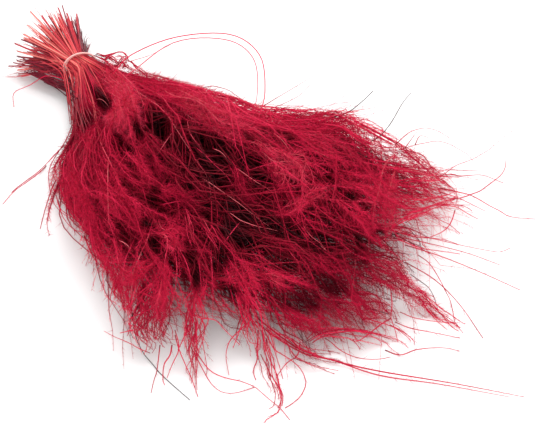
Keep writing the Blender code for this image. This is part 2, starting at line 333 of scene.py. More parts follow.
@dataclass
class Sight:
    """Lays strands that are given as pixels on the top of the bunch."""

    view: PhotoView
    canopy: Canopy
    highest: float = 0.078
    steps: int = 80
    thinnest: float = 0.005
    widest_gap: float = 0.040
    floor_gap: float = 0.0004

    def laid(self, pixels: Array, lifts: Array, facing: float) -> Array:
        """Finds the place of each pixel where its sight line is lift above the top or the floor.

        The line is followed down in even steps of height. It stops where it first comes within
        lift of the top, or else where it passes closest over it, or else on the floor. The height
        is then smoothed along the strand. With facing, the strand leaves the top and stays as far
        from the camera as its root, by that share.

        Args:
            pixels: Points of strands, (n, m, 2).
            lifts: Height over the top of the bunch, (n, m).
            facing: Share, from 0 to 1.

        Returns:
            The places, (n, m, 3).
        """
        levels = np.linspace(self.highest, 0.0, self.steps)
        top = self.canopy.height(self.view.at_height(pixels[..., None, :], levels))
        gap = levels - top - lifts[..., None]
        covered = top > self.thinnest
        met = covered & (gap <= 0.0)
        passed = np.where(covered, gap, 1.0)
        z = np.where(passed.min(-1) < self.widest_gap, levels[passed.argmin(-1)], lifts)
        first = np.maximum(met.argmax(-1), 1)[..., None]
        before, after = (np.take_along_axis(gap, first - back, -1)[..., 0] for back in (1, 0))
        share = np.clip(before / np.maximum(before - after, 1e-9), 0.0, 1.0)
        reached = levels[first[..., 0] - 1] - share * (levels[0] - levels[1])
        z = np.where(met.any(-1), reached, z)
        if facing:
            lines, camera = self.view.sight_lines(pixels), self.view.position()
            depth = (z[:, :1] - camera[2]) / lines[:, :1, 2]
            z = z + facing * (camera[2] + lines[..., 2] * depth - z)
        for _ in range(lifts.shape[1] // 3):
            z[:, 1:-1] = 0.25 * z[:, :-2] + 0.5 * z[:, 1:-1] + 0.25 * z[:, 2:]
        return self.view.at_height(pixels, np.maximum(z, self.floor_gap))


@dataclass
class Outline:
    """The edge of the dense mass in the photo, as the pixels of a closed line."""

    corners: Pixels = (
        (68, 75), (72, 120), (64, 150), (60, 185), (70, 215), (85, 235), (95, 258), (120, 280),
        (125, 300), (140, 318), (135, 332), (150, 355), (160, 360), (175, 345), (178, 320),
        (190, 315), (205, 318), (228, 315), (250, 320), (262, 340), (300, 350), (330, 343),
        (345, 330), (350, 300), (380, 300), (392, 315), (400, 300), (420, 300), (440, 315),
        (462, 328), (430, 290), (410, 270), (405, 245), (400, 230), (420, 218), (432, 212),
        (455, 208), (457, 195), (446, 183), (433, 170), (420, 152), (400, 142), (380, 130),
        (350, 113), (330, 108), (260, 108), (235, 98), (190, 86), (160, 80), (130, 68), (100, 55),
        (90, 40), (60, 40))

    def beyond(self, pixels: Array) -> Array:
        """Returns how many pixels each pixel lies outside the edge, less than 0 inside it."""
        start = np.array(self.corners, float)
        edge = np.roll(start, -1, axis=0) - start
        away = pixels[..., None, :] - start
        share = np.clip((away * edge).sum(-1) / (edge * edge).sum(-1), 0.0, 1.0)
        distance = np.linalg.norm(away - share[..., None] * edge, axis=-1).min(-1)
        rise = np.where(edge[:, 1] == 0.0, 1e-9, edge[:, 1])
        level = (away[..., 1] < 0.0) != (away[..., 1] < edge[:, 1])
        crossed = level & (away[..., 0] < edge[:, 0] * away[..., 1] / rise)
        return np.where(crossed.sum(-1) % 2 == 1, -distance, distance)


@dataclass(frozen=True)
class Clearing:
    """A place where the strands part and their tone is darkened as painted shade: pixel, half sizes, tilt,
    depth.
    """

    centre: Range
    radii: Range
    tilt: float = 0.0
    depth: float = 0.98


# Painted shade: each clearing darkens the tone of what is seen in it; middle and lower_right are broad,
# light darkenings.
CLEARINGS = {
    "below_band_1": Clearing((97, 92), (6, 5)),
    "below_band_2": Clearing((105, 102), (7, 10), -25.0),
    "below_band_3": Clearing((83, 97), (1.5, 3)),
    "maroon_stems": Clearing((86, 120), (9, 8), 0.0, 0.6),
    "beside_tuft": Clearing((137, 129), (4, 11), -15.0),
    "under_top_1": Clearing((157, 119), (14, 8), 30.0),
    "under_top_2": Clearing((160, 130), (10, 6), 30.0),
    "under_top_3": Clearing((180, 147), (10, 6), 40.0),
    "small_1": Clearing((182, 126), (4, 4)),
    "top_middle_1": Clearing((199, 137), (7, 4), 25.0),
    "top_middle_2": Clearing((217, 144), (8, 6), 30.0),
    "top_middle_3": Clearing((219, 156), (7, 4), 30.0),
    "diagonal_1": Clearing((246, 160), (11, 6), 48.0),
    "diagonal_2": Clearing((262, 178), (11, 5), 48.0),
    "small_2": Clearing((150, 157), (3, 3)),
    "left_1": Clearing((155, 189), (4, 4)),
    "left_2": Clearing((153, 200), (5, 7)),
    "left_3": Clearing((174, 199), (2, 2)),
    "left_4": Clearing((147, 224), (6, 6)),
    "left_5": Clearing((155, 244), (6, 10)),
    "centre_1": Clearing((192, 168), (8, 4), 30.0),
    "centre_2": Clearing((190, 185), (5, 5)),
    "centre_3": Clearing((206, 161), (6, 4), 30.0),
    "centre_4": Clearing((216, 177), (10, 9), 30.0),
    "centre_5": Clearing((207, 206), (5, 3)),
    "centre_6": Clearing((231, 207), (9, 9), 30.0),
    "centre_7": Clearing((248, 215), (8, 7), 20.0),
    "centre_8": Clearing((233, 231), (12, 9), 20.0),
    "centre_9": Clearing((250, 243), (10, 8), 30.0),
    "centre_10": Clearing((280, 227), (19, 8), 15.0),
    "centre_11": Clearing((299, 230), (4, 5)),
    "right_1": Clearing((320, 243), (10, 11), 30.0),
    "right_2": Clearing((351, 197), (7, 5)),
    "right_3": Clearing((379, 233), (4, 3)),
    "right_4": Clearing((360, 240), (5, 5)),
    "low_1": Clearing((220, 260), (9, 13), 20.0),
    "low_2": Clearing((228, 292), (12, 7)),
    "low_3": Clearing((197, 277), (5, 13)),
    "low_4": Clearing((192, 257), (5, 10)),
    "low_5": Clearing((300, 300), (22, 12), 10.0, 0.6),
    "low_6": Clearing((330, 285), (18, 10), 20.0, 0.55),
    "low_7": Clearing((285, 265), (14, 8), 30.0, 0.6),
    "middle": Clearing((222, 200), (62, 52), 20.0, 0.30),
    "lower_right": Clearing((345, 265), (60, 38), 20.0, 0.18),
}


@dataclass
class Shade:
    """Painted shade: the share of a strand's tone that is left at a pixel, less in the clearings."""

    view: PhotoView

    def unshaded(self, points: Array) -> Array:
        """Multiplies 1 - depth exp(-q^4) over the clearings, q the distance in half sizes.

        Args:
            points: Places in the bunch's frame, (..., 3).

        Returns:
            A share from 0 to 1 for each place, (...).
        """
        pixels = self.view.seen_at(points)
        unshaded = np.ones(pixels.shape[:-1])
        for clearing in CLEARINGS.values():
            away = pixels - clearing.centre
            turn = math.radians(clearing.tilt)
            along = (away[..., 0] * math.cos(turn) + away[..., 1] * math.sin(turn)) / clearing.radii[0]
            across = (away[..., 1] * math.cos(turn) - away[..., 0] * math.sin(turn)) / clearing.radii[1]
            unshaded *= 1.0 - clearing.depth * np.exp(-(along**2 + across**2) ** 2)
        return unshaded


@dataclass
class Surface:
    """Closed surfaces as triangles, with the map place of each triangle's corners."""

    vertices: Array
    triangles: Array
    places: Array
    finish: Finish


@dataclass
class Strands:
    """Strands side by side: centre lines, (n, m, 3), with radius and tone at each point, (n, m)."""

    paths: Array
    radii: Array
    tones: Array

    def tubes(self, sides: int, finish: Finish, reference: Array | None = None,
              flatness: Array | None = None, slant: Array | None = None,
              map_width: float = 0.012) -> Surface:
        """Carries a round or flattened section along all the strands at once.

        A point of the surface is path(j) + radius(j) (cos(angle) N + flatness sin(angle) B), where
        N and B stand square to the path. Flat caps close the ends, and the first may slant.

        Args:
            sides: Corners of the section.
            finish: What the strands are.
            reference: A direction for each strand, (n, 3), that N stands square to.
            flatness: Thickness over width for each strand, (n,).
            slant: How far the cut at the first end leans, in radii, (n,).
            map_width: Width of a strand on the strand map.

        Returns:
            The closed surface of all the tubes.
        """
        paths, radii = self.paths, self.radii
        n, m = radii.shape
        if reference is None:
            reference = np.tile([0.35, 0.2, 0.915], (n, 1))
        flatness = np.ones(n) if flatness is None else flatness
        tangent = unit(np.gradient(paths, axis=1))
        across = unit(np.cross(tangent, reference[:, None, :]))
        up = np.cross(tangent, across)
        angle = np.arange(sides) * 2.0 * math.pi / sides
        section = (np.cos(angle)[:, None] * across[:, :, None, :]
                   + (np.sin(angle)[:, None] * flatness[:, None, None, None]) * up[:, :, None, :])
        rings = paths[:, :, None, :] + radii[:, :, None, None] * section
        if slant is not None:
            lean = radii[:, 0, None] * slant[:, None] * np.cos(angle)
            rings[:, 0] += lean[..., None] * tangent[:, 0, None, :]
        side, row = (grid.ravel() for grid in np.meshgrid(np.arange(sides), np.arange(m - 1)))
        beside = (side + 1) % sides
        pick = np.array([[0, 1, 2], [0, 2, 3]])
        rows = np.stack([row, row, row + 1, row + 1], axis=-1)[:, pick].reshape(-1, 3)
        columns = np.stack([side, beside, beside, side], axis=-1)[:, pick].reshape(-1, 3)
        turn = np.stack([side, side + 1, side + 1, side], axis=-1)[:, pick].reshape(-1, 3) / sides - 0.5
        i = np.arange(1, sides - 1)
        cap = np.stack([0 * i, i + 1, i], axis=-1)
        rows = np.vstack([rows, 0 * cap, 0 * cap + m - 1])
        columns = np.vstack([columns, cap, cap[:, ::-1]])
        turn = np.vstack([turn, np.tile([-0.5, 0.5, 0.0], (2 * len(i), 1))])
        along = rows / (m - 1) + np.where(rows == 0, 0.01, -0.01) * (np.arange(3) == 2)
        low, high = finish.strip()
        triangles = (rows * sides + columns)[None] + (np.arange(n) * m * sides)[:, None, None]
        u = map_u(self.tones[:, rows]) + map_width * turn
        v = np.broadcast_to(low + (high - low) * np.clip(along, 0.0, 1.0), u.shape)
        return Surface(rings.reshape(-1, 3), triangles.reshape(-1, 3),
                       np.stack([u, v], axis=-1).reshape(-1, 3, 2), finish)


def spikes(roots: Array, tips: Array, widths: Array, tones: Array,
           map_width: float = 0.006) -> Surface:
    """Makes each hair a slim three-sided spike from its root to its tip.

    The base is a triangle of corners root + width (cos(a) N + sin(a) B), square to the hair.

    Args:
        roots: Where the hairs start, (n, 3).
        tips: Where they end, (n, 3).
        widths: Radius of each base, (n,).
        tones: Each hair's tone from 0 to 1, (n,).
        map_width: Width of a hair on the strand map.

    Returns:
        The closed surface of all the hairs.
    """
    n = len(roots)
    along = unit(tips - roots)
    across = unit(np.cross(along, [0.31, 0.17, 0.93]))
    up = np.cross(along, across)
    angle = np.arange(3) * 2.0 * math.pi / 3.0
    base = roots[:, None] + widths[:, None, None] * (
        np.cos(angle)[:, None] * across[:, None] + np.sin(angle)[:, None] * up[:, None])
    vertices = np.concatenate([base, tips[:, None]], axis=1)
    faces = np.array([[0, 1, 3], [1, 2, 3], [2, 0, 3], [0, 2, 1]])
    triangles = faces[None] + (np.arange(n) * 4)[:, None, None]
    low, high = Finish.HAIR.strip()
    turn = np.array([[-0.5, -0.1, 0.0], [-0.1, 0.3, 0.0], [0.3, 0.5, 0.0], [-0.5, 0.5, 0.0]])
    at = low + (high - low) * np.array([[0.0, 0.0, 1.0]] * 3 + [[0.0, 0.0, 0.03]])
    u = map_u(tones)[:, None, None] + map_width * turn[None]
    places = np.stack([u, np.broadcast_to(at, u.shape)], axis=-1)
    return Surface(vertices.reshape(-1, 3), triangles.reshape(-1, 3), places.reshape(-1, 3, 2),
                   Finish.HAIR)


@dataclass(frozen=True)
class Feathering:
    """The silky hairs of an awn: two opposite rows that lean towards its tip."""

    length: float = 0.0070
    tip_length: float = 0.0035
    spacing: float = 0.0013
    width: float = 0.00012
    lean: Range = (0.25, 1.1)  # least and most angle to the awn
    row_spread: float = 0.8  # how far hairs turn out of their row
    row_twist: float = 5.0  # how far the rows turn round the awn from root to tip
    tone_spread: float = 0.06
    floor: float = 0.00012  # lowest height of a tip
    tip_part: float = 0.35  # share of the awn over which hairs shorten to tip_length
    root_part: float = 0.08  # share of the awn over which they grow to their length
    root_size: float = 0.3  # what the first hairs have of it
    size_spread: Range = (0.55, 1.3)
    shortest: float = 0.0008

    def hairs(self, strands: Strands, starts: Array, density: Array,
              unshaded: Callable[[Array], Array], rng: np.random.Generator,
              kept: Array | None = None) -> Surface:
        """Sets hairs along each strand, from its start share to its tip.

        A hair's tip is root + length (cos(lean) T + sin(lean) N), where T runs along the strand
        and N points to one of two opposite sides, give or take a random turn.

        Args:
            strands: The awns.
            starts: Share of each awn where its hairs begin, (n,).
            density: How many times the plain number of hairs each awn has, (n,).
            unshaded: Gives the share of the tone that the clearings' painted shade leaves at a place.
            rng: Source of the random draws.
            kept: Share of the hairs that stays at each point of the strands, (n, m).

        Returns:
            The closed surface of all the hairs.
        """
        paths = strands.paths
        n, m = paths.shape[:2]
        length = np.linalg.norm(np.diff(paths, axis=1), axis=-1).sum(axis=1)
        counts = np.maximum((length * (1.0 - starts) * density / self.spacing).astype(int), 2)
        awn = np.repeat(np.arange(n), counts)
        order = np.arange(len(awn)) - np.repeat(np.cumsum(counts) - counts, counts)
        share = starts[awn] + (1.0 - starts[awn]) * (order + rng.random(len(awn))) / counts[awn]
        row = np.minimum((share * (m - 1)).astype(int), m - 2)
        if kept is not None:
            stays = rng.random(len(awn)) < kept[awn, row]
            awn, order, share, row = (values[stays] for values in (awn, order, share, row))
        part = share * (m - 1) - row
        low, high = paths[awn, row], paths[awn, row + 1]
        roots = low + (high - low) * part[:, None]
        tangent = unit(high - low)
        across = unit(np.cross(tangent, [0.1, 0.25, 0.96]))
        up = np.cross(tangent, across)
        turn = self.row_twist * share + awn * GOLDEN_ANGLE + math.pi * (order % 2)
        turn = turn + rng.normal(0.0, self.row_spread, len(awn))
        outward = np.cos(turn)[:, None] * across + np.sin(turn)[:, None] * up
        lean = rng.uniform(*self.lean, len(awn))[:, None]
        rise = squeezed(risen(share - starts[awn], 0.0, self.root_part), self.root_size)
        taper = smooth_step((1.0 - share) / self.tip_part)
        size = self.tip_length + (self.length * rise - self.tip_length) * taper
        size = np.maximum(size * rng.uniform(*self.size_spread, len(awn)), self.shortest)[:, None]
        tips = roots + size * (np.cos(lean) * tangent + np.sin(lean) * outward)
        tips[:, 2] = np.maximum(tips[:, 2], self.floor)
        tone = strands.tones[awn, row] * (1.0 - part) + strands.tones[awn, row + 1] * part
        # The clearings' painted shade darkens the hairs.
        tone = tone * rng.normal(1.0, self.tone_spread, len(awn)) * unshaded(0.4 * roots + 0.6 * tips)
        return spikes(roots, tips, np.full(len(awn), self.width), tone)


@dataclass
class GrassPiece:
    """One visible piece of grass: the surfaces that make it up, and the solids it stands for."""

    name: str
    replaces: tuple[str, ...]
    surfaces: list[Surface]

    def build(self, place: "BunchFrame", materials: list[bpy.types.Material]) -> int:
        """Joins the surfaces into one mesh object that rides on the root body.

        Args:
            place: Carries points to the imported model's frame.
            materials: The materials of the finishes, in the order of Finish.

        Returns:
            How many triangles the piece has.
        """
        ends = np.cumsum([0] + [len(s.vertices) for s in self.surfaces[:-1]])
        vertices = place.carried(np.vstack([s.vertices for s in self.surfaces]))
        vertices[:, 2] = np.maximum(vertices[:, 2], 0.0)
        triangles = np.vstack([s.triangles + end for s, end in zip(self.surfaces, ends)])
        places = np.vstack([s.places for s in self.surfaces])
        finish = np.concatenate([np.full(len(s.triangles), int(s.finish)) for s in self.surfaces])
        mesh = bpy.data.meshes.new(self.name)
        mesh.vertices.add(len(vertices))
        mesh.vertices.foreach_set("co", vertices.astype(np.float32).ravel())
        mesh.loops.add(triangles.size)
        mesh.loops.foreach_set("vertex_index", triangles.astype(np.int32).ravel())
        mesh.polygons.add(len(triangles))
        mesh.polygons.foreach_set("loop_start", np.arange(len(triangles), dtype=np.int32) * 3)
        for material in materials:
            mesh.materials.append(material)
        mesh.polygons.foreach_set("material_index", finish.astype(np.int32))
        layer = mesh.uv_layers.new(name=STRAND_MAP)
        layer.uv.foreach_set("vector", places.astype(np.float32).ravel())
        mesh.update(calc_edges=True)
        mesh.shade_smooth()
        obj = bpy.data.objects.new(self.name, mesh)
        bpy.context.scene.collection.objects.link(obj)
        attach(obj, "root")
        if self.replaces:
            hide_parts(*self.replaces)
        LOG.info("%s: %d triangles", self.name, len(triangles))
        return len(triangles)


@dataclass
class Sway:
    """Two sine waves along x for each strand, shared by the strands of a group."""

    size: Array
    rate: Array
    phase: Array

    @classmethod
    def drawn(cls, rng: np.random.Generator, group: Array, height: float,
              lengths: Range) -> "Sway":
        """Draws the waves.

        Args:
            rng: Source of the random draws.
            group: The group of each strand, (n,).
            height: Rough height of a wave.
            lengths: Shortest and longest wave.

        Returns:
            The waves.
        """
        count = int(group.max()) + 1
        size = rng.normal(0.0, height, (2, count))
        rate = 2.0 * math.pi / rng.uniform(*lengths, (2, count))
        phase = rng.uniform(0.0, 2.0 * math.pi, (2, count))
        return cls(*(values[:, group, None] for values in (size, rate, phase)))

    def at(self, x: Array) -> Array:
        """Returns size sin(rate x + phase), summed over the two waves, (n, m)."""
        return (self.size * np.sin(self.rate * x + self.phase)).sum(axis=0)


@dataclass
class Spray:
    """One spray of the bunch: its straws, and the awns that grow from them in a few locks."""

    index: int
    flow: Flow
    view: PhotoView
    straw_radius: float = 0.00057
    straw_spacing: float = 0.080
    butt_stray: float = 0.07
    far_cut: float = 0.08
    # Painted light and shade of the straws: lighter high in the butt, darker low down, on the far side and
    # past the band.
    straw_tone: float = 0.55
    straw_slopes: Range = (0.50, 0.24)  # tone gained per v below and above the middle
    far_dimming: float = 0.46
    far_side: Range = (0.25, 0.45)  # place u where it begins, and its width
    cut_paleness: float = 0.14
    cut_end: Range = (0.028, 0.026)  # distance behind the band, and its length
    past_band: Range = (0.010, 0.010)
    straw_shown: float = 0.72  # share of the tone that painted shade leaves past the band
    thick_straws: int = 6
    slim_straws: int = 5
    locks: int = 6
    awns: int = 6
    awn_points: int = 19
    awn_radius: float = 0.00019
    wisp_share: float = 0.10
    crossing_share: float = 0.36
    parting: Range = (0.015, 0.10)  # where awns start to part, and over what length
    sways: tuple = (  # rough height, shortest and longest wave: aside and up, of locks and awns
        (0.0060, (0.080, 0.190)), (0.0036, (0.040, 0.110)),
        (0.0034, (0.070, 0.170)), (0.0022, (0.040, 0.100)))
    sway_start: Range = (0.02, 0.12)
    low_part: float = 0.014  # height below which awns sway up and down less
    sunken: float = 0.62  # share of the height that is left in a clearing
    reach_at: tuple = ((-1.0, 0.235), (-0.8, 0.25), (-0.6, 0.26), (-0.4, 0.31), (-0.2, 0.33),
                       (0.0, 0.32), (0.2, 0.30), (0.4, 0.29), (0.6, 0.30), (0.8, 0.295), (1.0, 0.28))
    # Painted shade of the awns: their tone darkens with depth below the top, down to deepest_tone, less
    # near the edge and at the front, and less still on the far side.
    depth_scale: float = 0.0085
    tip_depth: Triple = (0.6, 0.7, 0.3)  # part that is lost, from that share on, over that
    deepest_tone: float = 0.06
    edge_tone: float = 0.68
    far_edge_light: float = 0.30
    far_edge: float = 0.5  # place u up to which that light grows
    edge_start: Range = (0.06, 0.06)
    edge_reach: float = 0.5  # how much deeper light reaches at the edge
    haired: Range = (0.10, 0.55)  # open air where hairs begin, and over which they grow
    deep_hairs: float = 0.05
    clearing_hairs: float = 0.3
    bareness: Range = (0.72, 0.20)  # of the edge, and more of it on the far side
    front_light: float = 0.36
    front: Range = (0.150, 0.090)
    edge_width: float = 44.0
    edge_thickening: float = 0.8
    deep_thickening: float = 2.6
    top_edge: Triple = (95.0, 260.0, 115.0)
    metres_a_pixel: float = 0.00097
    hair_share: float = 2.45
    feathering: Feathering = field(default_factory=Feathering)

    def __post_init__(self) -> None:
        """Works out the spray's place in the bundle, then draws its straws and awns."""
        share = (self.index - 0.5) / SPRAY_COUNT
        angle = (self.index - 1) * GOLDEN_ANGLE
        self.u = math.sqrt(share) * math.cos(angle) * OUTERMOST
        self.v = math.sqrt(share) * math.sin(angle) * OUTERMOST
        self.rng = np.random.default_rng([SEED, self.index])
        self.shade = Shade(self.view)
        self.thick, self.slim = self.draw_thick_straws(), self.draw_slim_straws()
        self.drawn, self.kept = self.draw_awns()

    def straw_tones(self, paths: Array, spread: float) -> Array:
        """Returns tones, (n, m): coral high in the butt as painted light, maroon low down and on the far
        side as painted shade.

        Args:
            paths: The straws' centre lines, (n, m, 3).
            spread: How much the tone differs from straw to straw.

        Returns:
            Tones from 0 to 1, darkened past the band by painted shade, most in the clearings.
        """
        # Painted light on the top of the butt, painted shade low down and on the far side.
        high = self.straw_tone + self.straw_slopes[int(self.v > 0.0)] * self.v
        high = high - self.far_dimming * float(risen(self.u, *self.far_side))
        tones = high + self.rng.normal(0.0, spread, (len(paths), 1))
        pale_tip = self.cut_paleness * risen(-paths[..., 0], *self.cut_end)
        # Painted shade past the band, deepest in the clearings.
        past = risen(paths[..., 0], *self.past_band)
        shaded = 1.0 - past * (1.0 - self.straw_shown * self.shade.unshaded(paths))
        return np.clip(tones + pale_tip, 0.02, 1.0) * shaded

    def draw_thick_straws(self) -> Strands:
        """Draws the thick straws, from their cut ends past the band; some are cut to a point."""
        rng, count = self.rng, self.thick_straws
        angle = rng.uniform(0.0, 2.0 * math.pi) + np.arange(count) * 2.0 * math.pi / count
        u = self.u + self.straw_spacing * np.cos(angle)
        v = self.v + self.straw_spacing * np.sin(angle)
        cut = self.flow.butt_length * rng.uniform(0.78, 1.10, count) * (1.0 - self.far_cut * self.u)
        stem = rng.uniform(0.045, 0.100, count)
        behind, neck = np.array([1.0, 0.8, 0.55, 0.32]), np.array([-0.012, -0.0055, 0.0, 0.0055, 0.012])
        ahead = np.array([0.28, 0.45, 0.65, 0.82, 1.0])
        x = np.concatenate([-cut[:, None] * behind, np.tile(neck, (count, 1)),
                            stem[:, None] * ahead], axis=1)
        apart = np.clip(-x / self.flow.butt_length, 0.0, None)
        stray = rng.normal(0.0, self.butt_stray, (2, count, 1)) * apart
        paths = self.flow.place(x, u[:, None] + stray[0], v[:, None] + stray[1])
        size = self.straw_radius * rng.uniform(0.85, 1.2, (count, 1))
        pointed = (rng.random((count, 1)) < 0.5) * np.array([0.62, 0.36, 0.12, 0.03] + [0.0] * 10)
        radii = size * np.array([1.0, 1.05, 1.08, 1.0, 0.92, 0.85, 0.82, 0.84, 0.86,
                                 0.85, 0.72, 0.6, 0.48, 0.3]) * (1.0 - pointed)
        paths[..., 2] = np.maximum(paths[..., 2], radii)
        return Strands(paths, radii, self.straw_tones(paths, 0.25))

    def draw_slim_straws(self) -> Strands:
        """Draws the slim straws, which stand out of the butt as pale points."""
        rng, count = self.rng, self.slim_straws
        u = self.u + rng.normal(0.0, 0.06, (count, 1))
        v = self.v + rng.normal(0.0, 0.06, (count, 1))
        cut = self.flow.butt_length * rng.uniform(0.88, 1.20, (count, 1)) * (1.0 - self.far_cut * self.u)
        stem = rng.uniform(0.02, 0.09, (count, 1))
        x = -cut + (cut + stem) * np.linspace(0.0, 1.0, 9)
        stray = rng.normal(0.0, 0.11, (2, count, 1)) * np.clip(-x / self.flow.butt_length, 0.0, None)
        paths = self.flow.place(x, u + stray[0], v + stray[1])
        taper = np.array([0.15, 0.55, 0.9, 1.0, 1.0, 1.0, 0.9, 0.8, 0.6])
        radii = 0.00040 * taper * rng.uniform(0.7, 1.2, (count, 1))
        paths[..., 2] = np.maximum(paths[..., 2], radii)
        return Strands(paths, radii, self.straw_tones(paths, 0.2))

    def draw_awns(self) -> tuple[Strands, Array]:
        """Leads every awn of the spray from its stem to its tip.

        An awn is at flow(x, u, v), where (u, v) goes over from its stem's place to its lock's
        place and then parts a little from the other awns of the lock. Some awns cross to another
        part of the fan. Sine waves that grow with x sway each lock as one, and smaller ones each
        awn. An awn ends where it would leave the edge of the dense mass, unless it is a wisp.

        open = exp(-depth / scale), with depth below the top, and edge is 1 at the outline and falls
        to 0 inside it. The tone carries painted shade: tone = base (deepest + (1 - deepest) open) cover,
        darker deep in the bunch and in the clearings, where deepest is lighter near the edge and at the
        front, more so on the far side. hairs = near_top (1 - bare edge) cover, each squeezed to its
        least. Hidden awns are thicker, because they carry fewer hairs.

        Returns:
            The awns, and the share of their hairs that stays at each point, (n, m).
        """
        rng = self.rng
        n = self.locks * self.awns
        lock = np.repeat(np.arange(self.locks), self.awns)
        angle = rng.uniform(0.0, 2.0 * math.pi) + np.arange(self.locks) * GOLDEN_ANGLE
        ring = rng.uniform(0.03, 0.16, self.locks)
        crossing = (rng.random(n) < self.crossing_share) * rng.normal(0.0, 0.26, (2, n))
        aim_u = (ring * np.cos(angle))[lock] + rng.normal(0.0, 0.024, n) + crossing[0]
        aim_v = (ring * np.sin(angle))[lock] + rng.normal(0.0, 0.024, n) + 0.6 * crossing[1]
        stem_u, stem_v = rng.normal(0.0, 0.035, (2, n, 1))
        start = rng.uniform(0.008, 0.030, (n, 1))
        edge_u = np.clip(self.u + aim_u, -1.0, 1.0)
        reach = np.interp(edge_u, *np.array(self.reach_at).T)
        wisp = rng.random(n) < self.wisp_share
        reach = reach * np.where(wisp, rng.uniform(0.95, 1.12, n), 1.0 - 0.36 * rng.random(n) ** 1.9)
        reach = (reach * rng.uniform(0.88, 1.04, self.locks)[lock])[:, None]
        groups = (lock, np.arange(n)) * 2
        sways = [Sway.drawn(rng, group, *wave) for group, wave in zip(groups, self.sways)]
        bend = rng.normal(0.0, 0.016, (n, 1)) + rng.normal(0.0, 0.010, self.locks)[lock][:, None]
        t = np.linspace(0.0, 1.0, self.awn_points)[None]

        def led(tip: Array) -> tuple[Array, Array, Array, Array]:
            """Returns the paths of the awns, and x, u and v along them, for these tips."""
            x = start + (tip - start) * t
            bound = risen(x, *self.parting)
            u = self.u + (1.0 - bound) * stem_u + bound * aim_u[:, None]
            v = self.v + (1.0 - bound) * stem_v + bound * aim_v[:, None]
            far = np.sqrt(u * u + v * v)
            held = np.minimum(far, 1.0) / np.maximum(far, 1e-9)
            u, v = u * held, v * held
            paths = self.flow.place(x, u, v)
            grown = risen(x, *self.sway_start)
            loose = 0.45 + smooth_step((x / reach - 0.45) / 0.5)
            paths[..., 1] += grown * (sways[0].at(x) + loose * sways[1].at(x))
            lifted = grown * smooth_step(paths[..., 2] / self.low_part)
            paths[..., 2] += lifted * (sways[2].at(x) + loose * sways[3].at(x))
            paths[..., 1] += bend * np.clip((x - 0.5 * reach) / 0.16, 0.0, None) ** 2
            return self.lowered(paths), x, u, v

        paths = led(reach)[0]
        beyond = Outline().beyond(self.view.seen_at(paths))
        slack = np.where(wisp, 26.0, rng.uniform(-2.0, 7.0, n))[:, None]
        left = (beyond > slack) & (t > 0.55)
        share = np.where(left.any(axis=1), left.argmax(axis=1) / (self.awn_points - 1), 1.0)[:, None]
        tip = start + (reach - start) * share
        paths, x, u, v = led(tip)
        paths[..., 2] *= squeezed(self.shade.unshaded(paths), self.sunken)
        paths[..., 2] = np.maximum(paths[..., 2], self.awn_radius)
        rim = np.sqrt(1.0 - np.clip(u * u, 0.0, 1.0))
        open_tip = 1.0 - self.tip_depth[0] * risen(t, *self.tip_depth[1:])
        depth = self.flow.height(x) * np.clip(rim - v, 0.0, None) * open_tip
        edge = 1.0 - smooth_step(-Outline().beyond(self.view.seen_at(paths)) / self.edge_width)
        edge = edge * risen(x, *self.edge_start)
        lit = np.maximum(edge, self.front_light * risen(x, *self.front))
        far = smooth_step(u / self.far_edge)
        edge_tone = self.edge_tone + self.far_edge_light * far
        # Painted shade: deep awns darken towards deepest, which painted light lifts near the edge, at the
        # front and on the far side.
        deepest = self.deepest_tone + lit * (edge_tone - self.deepest_tone)
        open_air = np.exp(-depth / (self.depth_scale * (1.0 + self.edge_reach * edge)))
        base = 0.78 + rng.normal(0.0, 0.10, self.locks)[lock] + rng.normal(0.0, 0.07, n)
        unshaded = self.shade.unshaded(paths)
        tones = base[:, None] * squeezed(open_air, deepest) * unshaded
        near_top = squeezed(risen(open_air, *self.haired), self.deep_hairs)
        bare = self.bareness[0] + self.bareness[1] * far
        kept = near_top * (1.0 - bare * edge) * squeezed(unshaded, self.clearing_hairs)
        taper = np.interp(t[0], [0.0, 0.3, 0.8, 1.0], [1.2, 1.0, 0.65, 0.2])
        radii = self.awn_radius * rng.uniform(0.75, 1.3, (n, 1)) * taper
        hidden = 1.0 - open_air * unshaded
        radii = radii * (1.0 + self.deep_thickening * hidden * (1.0 - edge) + self.edge_thickening * edge)
        return Strands(paths, radii, np.clip(tones, 0.0, 1.0)), kept

    def lowered(self, paths: Array) -> Array:
        """Lowers what would be seen over the bunch's top edge, by the pixels that it stands out.

        Args:
            paths: Places in the bunch's frame, (n, m, 3).

        Returns:
            The places, lower where they stood out.
        """
        pixels = self.view.seen_at(paths)
        first, last, bottom = self.top_edge
        over = (pixels[..., 0] > first) & (pixels[..., 0] < last) & (pixels[..., 1] < bottom)
        beyond = np.clip(Outline().beyond(pixels) - 1.0, 0.0, 14.0) * over
        return paths - beyond[..., None] * [0.0, 0.0, self.metres_a_pixel]

    def points(self) -> Array:
        """Returns the points of the straws and awns, (k, 3), from which the top is read."""
        paths = [s.paths for s in (self.thick, self.slim, self.drawn)]
        paths += [0.5 * (path[:, 1:] + path[:, :-1]) for path in paths]
        return np.vstack([path.reshape(-1, 3) for path in paths])

